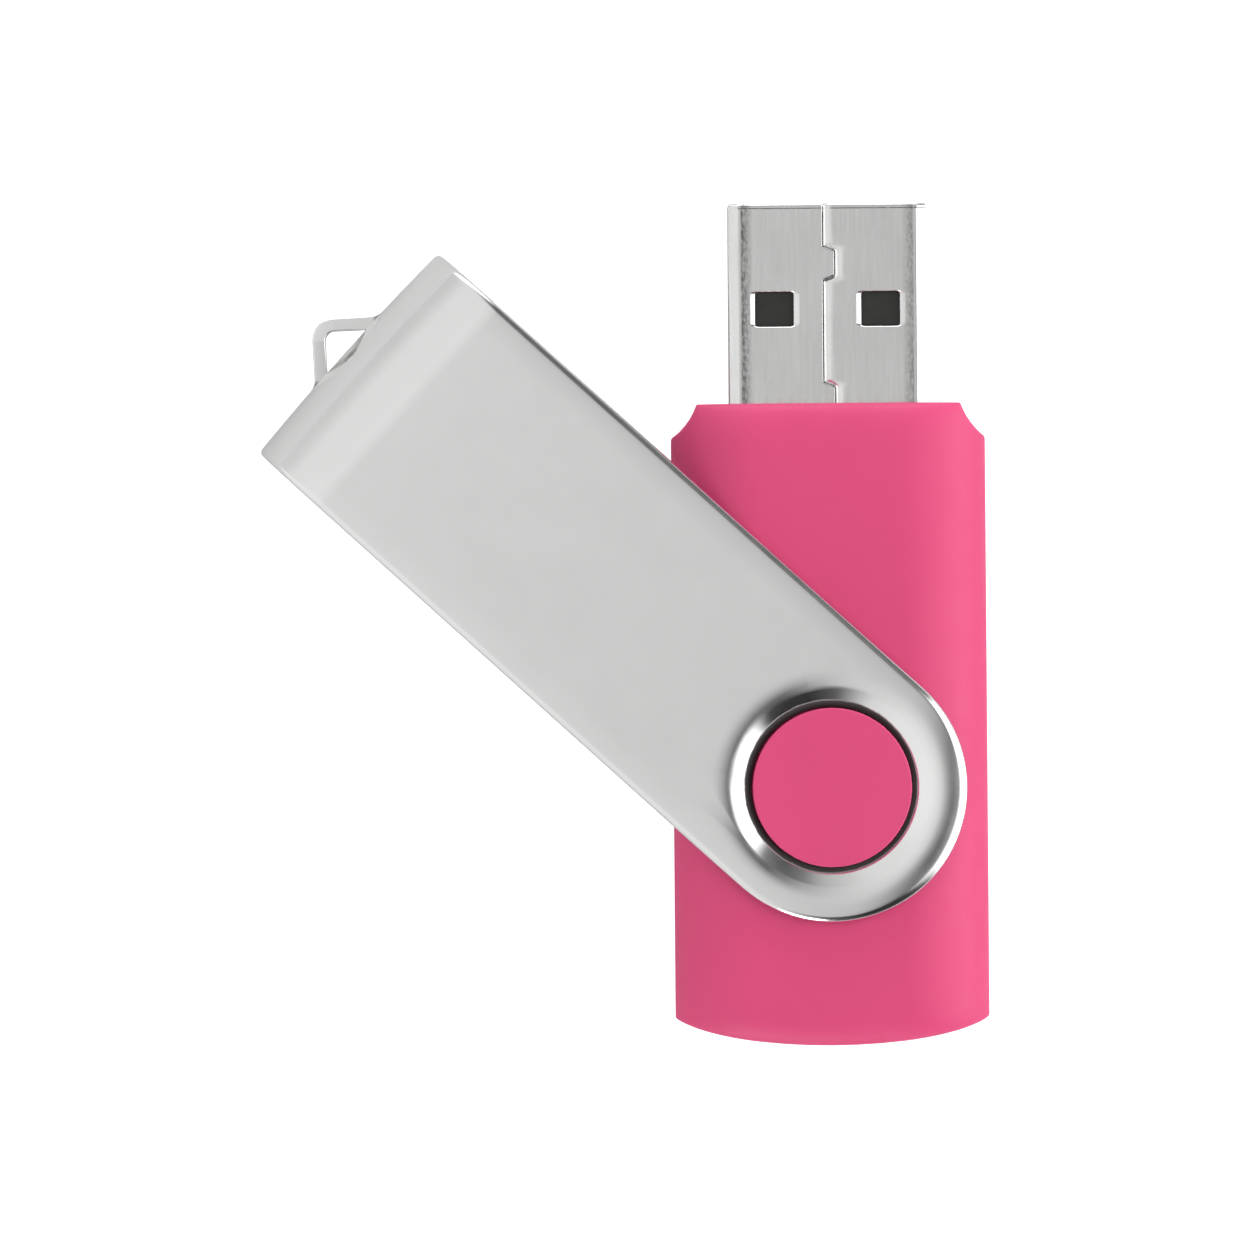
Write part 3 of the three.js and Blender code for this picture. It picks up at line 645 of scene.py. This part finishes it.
def housing_half(name, node, up, material):
    """A hollow half shell with its boss and ring groove."""
    surface = BODY_HALF_HEIGHT
    face = THICKNESS / 2
    room = rounded_outline(BODY_HALF_WIDTH - WALL, surface - WALL,
                           ROOM_CORNER, surface - WALL - ROOM_FLAT)
    mouth = rounded_outline(PLUG_HALF_WIDTH + MOUTH_CLEARANCE, PLUG_HALF_HEIGHT + MOUTH_CLEARANCE,
                            PLUG_CORNER, PLUG_CORNER)

    def upright(profile):
        return lathe([(radius, MID_Z + up * z) for radius, z in profile])

    groove = upright([(GROOVE_RADIUS, surface - GROOVE_DEPTH),
                      (GROOVE_RADIUS, surface - GROOVE_RIM)]
                     + [(GROOVE_RADIUS + out, surface - drop + GROOVE_LIFT)
                        for out, drop in reversed(quarter(GROOVE_RIM, GROOVE_RIM, 4))]
                     + [(GROOVE_RADIUS + GROOVE_RIM + GROOVE_FLARE, surface + CUTTER_PAST)])
    boss_edge = [(BOSS_RADIUS - inset, face - drop)
                 for inset, drop in reversed(quarter(BOSS_EDGE, BOSS_EDGE, 6))]
    boss = upright([(BOSS_NECK, surface - GROOVE_DEPTH - BOSS_HEAD),
                    (BOSS_NECK, face - BOSS_HEAD), (BOSS_RADIUS, face - BOSS_SKIRT)]
                   + boss_edge + [(BOSS_TOP, face), (0.0, face)])
    shell = linked(name, housing_blank(up))
    combined(shell, [
        ("DIFFERENCE", prism(room, TAIL_Y + ROOM_TAIL_WALL, FRONT_Y - ROOM_FRONT_WALL)),
        ("DIFFERENCE", prism(mouth, FRONT_Y - MOUTH_DEPTH, FRONT_Y + CUTTER_PAST)),
        ("DIFFERENCE", groove),
        ("UNION", boss)])
    return finished(shell, material, "drive", [node], sharp=40)


# ---- plug ----

def seam_x(from_tip):
    """Where the zigzag seam runs, at a distance from the plug's tip."""
    x = SEAM_RUNS[0][0]
    for (before, _), (after, jog) in zip(SEAM_RUNS, SEAM_RUNS[1:]):
        x += (after - before) * smoothstep(jog - JOG_HALF_LENGTH, jog + JOG_HALF_LENGTH, from_tip)
    return x


def lip_inset(from_tip):
    """How far the shell's outside draws in at its tip, behind which a slight ridge stands out."""
    near = max(0.0, 1 - from_tip / LIP_LENGTH)
    ridge = LIP_RIDGE * (1 - smoothstep(LIP_LENGTH, LIP_RIDGE_END, from_tip))
    return LIP_DROP * (1 - math.sqrt(1 - near * near)) - ridge


def plug_stations():
    """Distances from the tip, close together at the lip and where the seam jogs."""
    stops = [LIP_LENGTH * (1 - math.cos(t)) for t in spaced(0, math.pi / 2, 7)]
    stops += spaced(LIP_LENGTH, LIP_RIDGE_END, 4)[1:]
    for _, jog in SEAM_RUNS[1:]:
        stops += spaced(jog - 1.8 * JOG_HALF_LENGTH, jog + 1.8 * JOG_HALF_LENGTH, 20)
    return sorted(stops + PLUG_ROWS + [PLUG_TIP_Y - PLUG_REAR_Y])


SEAM_PATH = [Vector((seam_x(stop / SEAM_STEPS), stop / SEAM_STEPS))
             for stop in range(int(SEAM_STEPS * (PLUG_TIP_Y - PLUG_REAR_Y)) + 2)]


def seam_distance(x, from_tip):
    """Distance from a point of the plug's top face to the seam."""
    point = Vector((x, from_tip))
    near = max(0, int(SEAM_STEPS * from_tip) - SEAM_WINDOW)
    nearby = SEAM_PATH[near:near + 2 * SEAM_WINDOW + 1]
    best = math.inf
    for start, end in zip(nearby, nearby[1:]):
        run = end - start
        share = min(1.0, max(0.0, (point - start).dot(run) / run.length_squared))
        best = min(best, (start + run * share - point).length)
    return best


def seam_drop(x, from_tip, width, depth):
    """How far the top face has rolled down beside the seam: a slope that ends in a steep lip."""
    near = max(0.0, 1 - max(0.0, seam_distance(x, from_tip) - SEAM_GAP / 2) / width)
    return depth * (0.8 * near ** 1.25 + 0.2 * (1 - math.sqrt(max(0.0, 1 - near ** 8))))


def plug_corner():
    """One corner of the plug's outside, from the flat face to the side: (inset, drop) points."""
    points = [(PLUG_BEVEL_ROUND * math.sin(t), PLUG_BEVEL_ROUND * (1 - math.cos(t)))
              for t in spaced(0, PLUG_BEVEL, 4)]
    x, z = points[-1]
    x += PLUG_BEVEL_RUN
    z += PLUG_BEVEL_RUN * math.tan(PLUG_BEVEL)
    points += [(x + PLUG_SIDE_ROUND * (math.sin(t) - math.sin(PLUG_BEVEL)),
                z + PLUG_SIDE_ROUND * (math.cos(PLUG_BEVEL) - math.cos(t)))
               for t in spaced(PLUG_BEVEL, math.pi / 2, 6)]
    return [(points[-1][0] - x, z) for x, z in points]


def plug_section(from_tip):
    """The shell's C-shaped section: outside from the seam's right side round to its left."""
    lip = lip_inset(from_tip)
    outer, inner = [], []
    w, h, corner = PLUG_HALF_WIDTH - lip, PLUG_HALF_HEIGHT - lip, PLUG_CORNER
    bore = corner - PLUG_SHEET + lip
    bevel = plug_corner()
    for cx, cz, first in ((1, 1, 1), (1, -1, 0), (-1, -1, 3), (-1, 1, 2)):
        outer += [(cx * (w - inset), cz * (h - drop))
                  for inset, drop in (bevel if cx == cz else reversed(bevel))]
        for a in spaced(first * math.pi / 2, (first - 1) * math.pi / 2, 8):
            centre = (cx * (w - corner), cz * (h - corner))
            inner.append((centre[0] + bore * math.cos(a), centre[1] + bore * math.sin(a)))
    seam, half_gap = seam_x(from_tip), SEAM_GAP / 2
    right = [seam + half_gap + t for t in SEAM_RIGHT]
    left = [seam - half_gap - t for t in reversed(SEAM_LEFT)]
    right = [(x, h - seam_drop(x, from_tip, SEAM_ROLL_WIDTH, SEAM_ROLL_DEPTH)) for x in right]
    left = [(x, h - seam_drop(x, from_tip, SEAM_CRISP, SEAM_CRISP)) for x in left]
    bottom = h - PLUG_SHEET + lip
    ring = (right + outer + left + [(seam - half_gap, bottom)] + inner[::-1]
            + [(seam + half_gap, bottom)])
    return [(x, PLUG_TIP_Y - from_tip, MID_Z + z) for x, z in ring]


def window_tool(x, up):
    """A cutter whose mouth flares, so that the window's edges come out rolled inwards."""
    profile = [(1.0, PLUG_HALF_HEIGHT + WINDOW_CUTTER_ABOVE)]
    profile += [(share, PLUG_HALF_HEIGHT - drop + WINDOW_LIFT)
                for share, drop in quarter(1.0, WINDOW_ROLL_DEPTH, 8)]
    profile += [(0.0, PLUG_HALF_HEIGHT - WINDOW_CUTTER_BELOW)]
    rows = []
    for grow, z in profile:
        grow_x, grow_y = grow * WINDOW_ROLL_X, grow * WINDOW_ROLL_Y
        row = []
        for cx, cy, first in ((1, 1, 0), (-1, 1, 1), (-1, -1, 2), (1, -1, 3)):
            for a in spaced(first * math.pi / 2, (first + 1) * math.pi / 2, 6):
                row.append((x + cx * (WINDOW_HALF_WIDTH - WINDOW_CORNER)
                            + (WINDOW_CORNER + grow_x) * math.cos(a),
                            PLUG_TIP_Y - WINDOW_FROM_TIP
                            + cy * (WINDOW_HALF_LENGTH - WINDOW_CORNER)
                            + (WINDOW_CORNER + grow_y) * math.sin(a), MID_Z + up * z))
        rows.append(row)
    body = Patches()
    body.grid(rows, wrap=True)
    body.polygon(rows[0])
    body.polygon(rows[-1])
    return body.mesh("window")


def plug_shell(material):
    body = Patches()
    rows = [plug_section(stop) for stop in plug_stations()]
    body.grid(rows, wrap=True)
    body.polygon(rows[0])
    body.polygon(rows[-1])
    shell = linked("plug_shell_visual", body.mesh("plug_shell"))
    combined(shell, [("DIFFERENCE", window_tool(x, up))
                     for x in (-WINDOW_X, WINDOW_X) for up in (1, -1)])
    return finished(shell, material, "drive", ["plug_shell"], sharp=38)


# ---- materials ----

class Tree:
    """A small helper for building node trees."""

    def __init__(self, tree):
        self.tree = tree

    def add(self, kind, **settings):
        node = self.tree.nodes.new(kind)
        for key, value in settings.items():
            setattr(node, key, value)
        return node

    def link(self, source, target):
        self.tree.links.new(source, target)

    def maths(self, operation, *values):
        node = self.add("ShaderNodeMath", operation=operation)
        for socket, value in zip(node.inputs, values):
            if isinstance(value, (int, float)):
                socket.default_value = value
            else:
                self.link(value, socket)
        return node.outputs[0]

    def split(self, vector):
        """The outputs X, Y and Z of a vector."""
        node = self.add("ShaderNodeSeparateXYZ")
        self.link(vector, node.inputs["Vector"])
        return node.outputs


class Nodes(Tree):
    """A material's node tree."""

    def __init__(self, name):
        self.material = bpy.data.materials.new(name)
        self.material.use_nodes = True
        super().__init__(self.material.node_tree)
        self.shader = self.tree.nodes["Principled BSDF"]
        self.coordinates = self.add("ShaderNodeTexCoord").outputs["Object"]

    def set(self, **values):
        for key, value in values.items():
            self.shader.inputs[key.replace("_", " ")].default_value = value

    def scaled(self, scale):
        mapping = self.add("ShaderNodeMapping")
        mapping.inputs["Scale"].default_value = scale
        self.link(self.coordinates, mapping.inputs["Vector"])
        return mapping.outputs["Vector"]

    def noise(self, scale, stretch=(1, 1, 1), detail=3.0, roughness=0.55):
        """Noise whose size is given per metre."""
        texture = self.add("ShaderNodeTexNoise")
        texture.inputs["Scale"].default_value = scale
        texture.inputs["Detail"].default_value = detail
        texture.inputs["Roughness"].default_value = roughness
        self.link(self.scaled(stretch), texture.inputs["Vector"])
        return texture.outputs["Fac"]

    def ramp(self, factor, low, high, start=0.35, end=0.65):
        """Maps a factor to a number between low and high."""
        node = self.add("ShaderNodeMapRange")
        node.inputs["From Min"].default_value = start
        node.inputs["From Max"].default_value = end
        node.inputs["To Min"].default_value = low
        node.inputs["To Max"].default_value = high
        self.link(factor, node.inputs["Value"])
        return node.outputs["Result"]

    def gradient(self, factor, low, high, start=0.35, end=0.65):
        """Maps a factor to a colour between low and high."""
        node = self.add("ShaderNodeValToRGB")
        node.color_ramp.elements[0].position = start
        node.color_ramp.elements[0].color = (*low, 1)
        node.color_ramp.elements[1].position = end
        node.color_ramp.elements[1].color = (*high, 1)
        self.link(factor, node.inputs["Fac"])
        return node.outputs["Color"]

    def colours(self, factor, low, high):
        """Gives the base colour a gradient."""
        self.link(self.gradient(factor, low, high), self.shader.inputs["Base Color"])

    def mixed(self, share, base, other):
        """Base colour with a share of another plain colour."""
        node = self.add("ShaderNodeMix", data_type="RGBA")
        self.link(share, node.inputs["Factor"])
        self.link(base, node.inputs[6])
        node.inputs[7].default_value = (*other, 1)
        return node.outputs[2]

    def bump(self, height, distance, strength=1.0):
        """Bumps of a height given in millimetres."""
        node = self.add("ShaderNodeBump")
        node.inputs["Strength"].default_value = strength
        node.inputs["Distance"].default_value = distance * MM
        self.link(height, node.inputs["Height"])
        self.link(node.outputs["Normal"], self.shader.inputs["Normal"])


def pink_plastic():
    """Moulded semi-gloss plastic with a very fine grain and faint flow marks."""
    m = Nodes("pink_plastic")
    m.set(IOR=1.46, Specular_IOR_Level=0.35)
    m.colours(m.noise(140, (1, 0.35, 1), 2), (0.675, 0.063, 0.183), (0.705, 0.068, 0.194))
    m.link(m.ramp(m.noise(900), 0.46, 0.54), m.shader.inputs["Roughness"])
    m.bump(m.noise(9000, detail=2), 0.004, 0.5)
    return m.material


def clip_steel():
    """Smooth satin stainless sheet, with a dark, dull ring of painted shade round each hole,
    standing in for the shade in the gap round the boss.
    """
    m = Nodes("clip_steel")
    steel = m.gradient(m.noise(60, detail=4), (0.81, 0.81, 0.805), (0.84, 0.84, 0.835))
    hole = Vector((-math.sin(CLIP_ANGLE), math.cos(CLIP_ANGLE))) * HOLE_S * MM
    place = m.split(m.coordinates)
    x = m.maths("SUBTRACT", place["X"], hole.x)
    y = m.maths("SUBTRACT", place["Y"], hole.y)
    radius = m.maths("SQRT", m.maths("ADD", m.maths("MULTIPLY", x, x), m.maths("MULTIPLY", y, y)))
    # Painted shade: a dark, dull, non-metallic ring round each hole stands in for the shade in the
    # gap round the boss. edge is its mask.
    ragged = m.maths("ADD", radius, m.ramp(m.noise(1500, detail=3), -0.02 * MM, 0.02 * MM))
    edge = m.ramp(ragged, 1.0, 0.0, *((HOLE_RADIUS + out) * MM for out in HOLE_SHADE_RIM))
    m.link(m.mixed(edge, steel, (0.06, 0.062, 0.062)), m.shader.inputs["Base Color"])
    m.link(m.maths("SUBTRACT", 1.0, edge), m.shader.inputs["Metallic"])
    satin = m.ramp(m.noise(420, detail=5), 0.11, 0.15)
    m.link(m.maths("ADD", satin, m.maths("MULTIPLY", edge, 0.6)), m.shader.inputs["Roughness"])
    m.bump(m.noise(2600, detail=3), 0.0008, 0.3)
    return m.material


def plug_steel():
    """Nickel-plated sheet: fine scratches along the plug, and a speckled dark line of painted
    shade on the inner side of each long corner, standing in for the shade in the slight dip beside
    the bend. The painted shade is stronger on the left."""
    m = Nodes("plug_steel")
    m.set(Metallic=1.0)
    streaks = m.noise(5200, (1, 0.04, 1), 4, 0.7)
    clouds = m.noise(700, (1, 0.5, 1), 3)
    mixed = m.maths("ADD", m.maths("MULTIPLY", streaks, 0.6), m.maths("MULTIPLY", clouds, 0.4))
    steel = m.gradient(mixed, (0.7, 0.7, 0.693), (0.8, 0.8, 0.794), 0.32, 0.68)
    # Painted shade: a speckled dark line along the inner side of each long corner, stronger on the
    # left side, stands in for the shade in the slight dip beside the bend.
    x = m.split(m.coordinates)["X"]
    from_middle = m.maths("ABSOLUTE", x)
    rise = m.ramp(from_middle, 0.0, 1.0, *(place * MM for place in CORNER_SHADE_IN))
    fall = m.ramp(from_middle, 1.0, 0.0, *(place * MM for place in CORNER_SHADE_OUT))
    side = m.ramp(x, 1.0, 0.65, -1 * MM, 1 * MM)
    speckle = m.ramp(m.noise(9000, (1, 0.4, 1), 4), 0.4, 1.0, 0.36, 0.62)
    corner_shade = m.maths("MULTIPLY", m.maths("MULTIPLY", rise, fall), m.maths("MULTIPLY", side, speckle))
    m.link(m.mixed(corner_shade, steel, (0.17, 0.17, 0.165)), m.shader.inputs["Base Color"])
    m.link(m.ramp(m.noise(2400, (1, 0.1, 1), 3), 0.16, 0.28), m.shader.inputs["Roughness"])
    m.bump(mixed, 0.0022, 0.35)
    return m.material


def moulded(name, low, high, roughness):
    """Moulded plastic or epoxy with a fine grain."""
    m = Nodes(name)
    m.colours(m.noise(700), low, high)
    m.link(m.ramp(m.noise(3000), roughness - 0.08, roughness + 0.08), m.shader.inputs["Roughness"])
    m.bump(m.noise(12000, detail=2), 0.006, 0.5)
    return m.material


def plated(name, low, high, roughness):
    """Plated metal with fine lines along Y."""
    m = Nodes(name)
    m.set(Metallic=1.0)
    m.colours(m.noise(1500, (1, 0.2, 1)), low, high)
    m.link(m.ramp(m.noise(4000, (1, 0.1, 1)), roughness - 0.06, roughness + 0.1),
           m.shader.inputs["Roughness"])
    m.bump(m.noise(9000, (1, 0.1, 1)), 0.002, 0.4)
    return m.material


def board_laminate():
    """Green solder mask with copper tracks showing faintly under it."""
    m = Nodes("board_laminate")
    tracks = m.add("ShaderNodeTexBrick")
    tracks.inputs["Scale"].default_value = 700
    tracks.inputs["Mortar Size"].default_value = 0.012
    tracks.inputs["Color1"].default_value = (0.012, 0.13, 0.04, 1)
    tracks.inputs["Color2"].default_value = (0.016, 0.16, 0.05, 1)
    tracks.inputs["Mortar"].default_value = (0.03, 0.24, 0.07, 1)
    m.link(m.scaled((1, 0.5, 1)), tracks.inputs["Vector"])
    m.link(tracks.outputs["Color"], m.shader.inputs["Base Color"])
    m.link(m.ramp(m.noise(3000), 0.3, 0.45), m.shader.inputs["Roughness"])
    m.bump(tracks.outputs["Fac"], 0.01, 0.4)
    return m.material


def tinned_ends(name, body_colour, axis):
    """A small chip part that lies along an axis: body_colour between two tinned ends."""
    m = Nodes(name)
    along = m.split(m.add("ShaderNodeTexCoord").outputs["Generated"])[axis]
    from_middle = m.maths("ABSOLUTE", m.maths("SUBTRACT", along, 0.5))
    end = m.ramp(from_middle, 0.0, 1.0, 0.27, 0.29)
    body = m.gradient(m.noise(4000), tuple(0.85 * c for c in body_colour), body_colour)
    m.link(m.mixed(end, body, (0.72, 0.71, 0.68)), m.shader.inputs["Base Color"])
    m.link(end, m.shader.inputs["Metallic"])
    m.link(m.ramp(m.noise(6000), 0.32, 0.5), m.shader.inputs["Roughness"])
    m.bump(m.noise(15000), 0.004, 0.4)
    return m.material


# ---- the object ----

def dress_cad_nodes():
    """Gives each CAD node that stays a material. A small chip part's lies along the part."""
    looks = {
        "insulator_plastic": moulded("insulator_black", (0.012, 0.012, 0.011),
                                     (0.017, 0.017, 0.015), 0.5),
        "contact_plating": plated("contact_gold", (0.75, 0.5, 0.17), (0.86, 0.6, 0.24), 0.22),
        "board_laminate": board_laminate(),
        "chip_package": moulded("chip_epoxy", (0.014, 0.015, 0.016), (0.022, 0.023, 0.024), 0.55),
        "crystal_can": plated("crystal_metal", (0.6, 0.6, 0.58), (0.7, 0.7, 0.68), 0.3),
        "led_resin": moulded("led_resin", (0.78, 0.75, 0.58), (0.86, 0.83, 0.66), 0.2),
    }
    for axis in (0, 1):
        looks["resistor_film", axis] = tinned_ends(f"resistor_glaze_{axis}",
                                                   (0.015, 0.015, 0.017), axis)
        looks["capacitor_ceramic", axis] = tinned_ends(f"capacitor_body_{axis}",
                                                       (0.36, 0.2, 0.1), axis)
    for part in frame["record"]["subparts"]:
        low, high = box_mm(part["node"])
        axis = 0 if high.x - low.x > high.y - low.y else 1
        slot = part["material_slot"]
        look = looks.get(slot) or looks.get((slot, axis))
        if look:
            data = frame["nodes"][part["node"]].data
            data.materials.clear()
            data.materials.append(look)


def build_object():
    pink = pink_plastic()
    housing_half("housing_top_visual", "housing_top", 1, pink)
    housing_half("housing_bottom_visual", "housing_bottom", -1, pink)
    plug_shell(plug_steel())
    clip = linked("swivel_clip_visual", clip_mesh())
    finished(clip, clip_steel(), "clip", ["swivel_clip"], sharp=50)
    dress_cad_nodes()


# ---- stage, light and camera ----

def floor():
    """A large pale floor under the drive. What the camera sees of it is lit up to white."""
    body = Patches()
    body.polygon([(x * FLOOR_HALF, y * FLOOR_HALF, FLOOR_Z)
                  for x, y in ((-1, -1), (1, -1), (1, 1), (-1, 1))])
    plane = linked("floor", body.mesh("floor"))
    m = Nodes("pale_floor")
    m.set(Base_Color=(0.7, 0.7, 0.7, 1), Roughness=0.9, Specular_IOR_Level=0.1,
          Emission_Color=(1, 1, 1, 1))
    seen = m.add("ShaderNodeLightPath").outputs["Is Camera Ray"]
    m.link(m.ramp(seen, 0.0, 0.9, 0, 1), m.shader.inputs["Emission Strength"])
    plane.data.materials.append(m.material)


# The studio's light by compass angle, as (angle anticlockwise from +X, light), for heights that
# run from the top down. Strong soft light comes from +X, paler light from +Y round to the lower
# left, and -Y is dark. Each fade is given in degrees from the top.
OVERHEAD = 0.755
NEAR_TOP_FADE = (0, 16)
NEAR_TOP = ((0, 0.19), (30, 0.17), (50, 0.12), (70, 0.5), (90, 0.69), (120, 0.85), (180, 0.94),
            (225, 0.88), (250, 0.75), (270, 0.68), (285, 0.4), (300, 0.13), (330, 0.13),
            (360, 0.19))
UPPER_FADE = (18, 28)
UPPER = ((0, 2.2), (30, 2.2), (40, 0.2), (55, 0.1), (70, 0.22), (80, 0.5), (92, 0.62),
         (110, 0.82), (138, 0.86), (155, 0.95), (180, 0.97), (225, 0.92), (248, 0.8), (268, 0.12),
         (285, 0.03), (316, 0.03), (328, 2.2), (360, 2.2))
LOWER_FADE = (55, 82)
LOWER = ((0, 4.2), (30, 4.2), (41, 0.2), (55, 0.2), (65, 2.6), (90, 6.5), (115, 2.0),
         (135, 0.66), (160, 1.0), (225, 0.85), (248, 0.95), (253, 11.0), (264, 11.0),
         (268, 0.12), (317, 0.12), (330, 4.2), (360, 4.2))


def studio_world():
    """A soft studio all round, whose light depends only on the direction it comes from. The
    camera sees plain white past the floor's edge."""
    world = bpy.data.worlds.new("studio")
    bpy.context.scene.world = world
    world.use_nodes = True
    sky = Tree(world.node_tree)
    sky.tree.nodes.clear()
    toward = sky.split(sky.add("ShaderNodeTexCoord").outputs["Generated"])
    compass = sky.maths("ARCTAN2", toward["Y"], toward["X"])
    compass = sky.maths("ADD", sky.maths("MULTIPLY", compass, 0.5 / math.pi), 1.0)
    compass = sky.maths("FRACT", compass)
    from_top = sky.maths("MULTIPLY", sky.maths("ARCCOSINE", toward["Z"]), 180 / math.pi)

    def ring(stops):
        node = sky.add("ShaderNodeValToRGB")
        elements = node.color_ramp.elements
        while len(elements) < len(stops):
            elements.new(0.5)
        for element, (angle, light) in zip(elements, stops):
            element.position = angle / 360
            element.color = (light, light, light, 1)
        sky.link(compass, node.inputs["Fac"])
        return node.outputs["Color"]

    def blend(above, below, fade, kind):
        """Fades from one height's light to the next one down."""
        share = sky.add("ShaderNodeMapRange", interpolation_type=kind)
        share.inputs["From Min"].default_value = fade[0]
        share.inputs["From Max"].default_value = fade[1]
        sky.link(from_top, share.inputs["Value"])
        node = sky.add("ShaderNodeMix", data_type="RGBA")
        sky.link(share.outputs["Result"], node.inputs["Factor"])
        if isinstance(above, float):
            node.inputs[6].default_value = (above, above, above, 1)
        else:
            sky.link(above, node.inputs[6])
        sky.link(ring(below), node.inputs[7])
        return node.outputs[2]

    light = blend(OVERHEAD, NEAR_TOP, NEAR_TOP_FADE, "LINEAR")
    light = blend(light, UPPER, UPPER_FADE, "SMOOTHSTEP")
    light = blend(light, LOWER, LOWER_FADE, "SMOOTHSTEP")
    studio = sky.add("ShaderNodeBackground")
    sky.link(light, studio.inputs["Color"])
    plain = sky.add("ShaderNodeBackground")
    plain.inputs["Color"].default_value = (1, 1, 1, 1)
    choice = sky.add("ShaderNodeMixShader")
    sky.link(sky.add("ShaderNodeLightPath").outputs["Is Camera Ray"], choice.inputs["Fac"])
    sky.link(studio.outputs[0], choice.inputs[1])
    sky.link(plain.outputs[0], choice.inputs[2])
    sky.link(choice.outputs[0], sky.add("ShaderNodeOutputWorld").inputs["Surface"])


def camera():
    """Straight above the drive, far off, turned a little so that the drive leans left."""
    data = bpy.data.cameras.new("camera")
    data.sensor_width = SENSOR_WIDTH
    data.lens = SENSOR_WIDTH * VIEW_DISTANCE / VIEW_WIDTH
    data.clip_end = VIEW_CLIP_END
    view = linked("camera", data)
    view.location = Vector((*VIEW_CENTRE, MID_Z + VIEW_DISTANCE)) * MM
    view.rotation_euler = (0, 0, -VIEW_ROLL)
    bpy.context.scene.camera = view


bpy.context.scene.view_settings.view_transform = "Standard"
camera()
studio_world()
floor()
build_object()
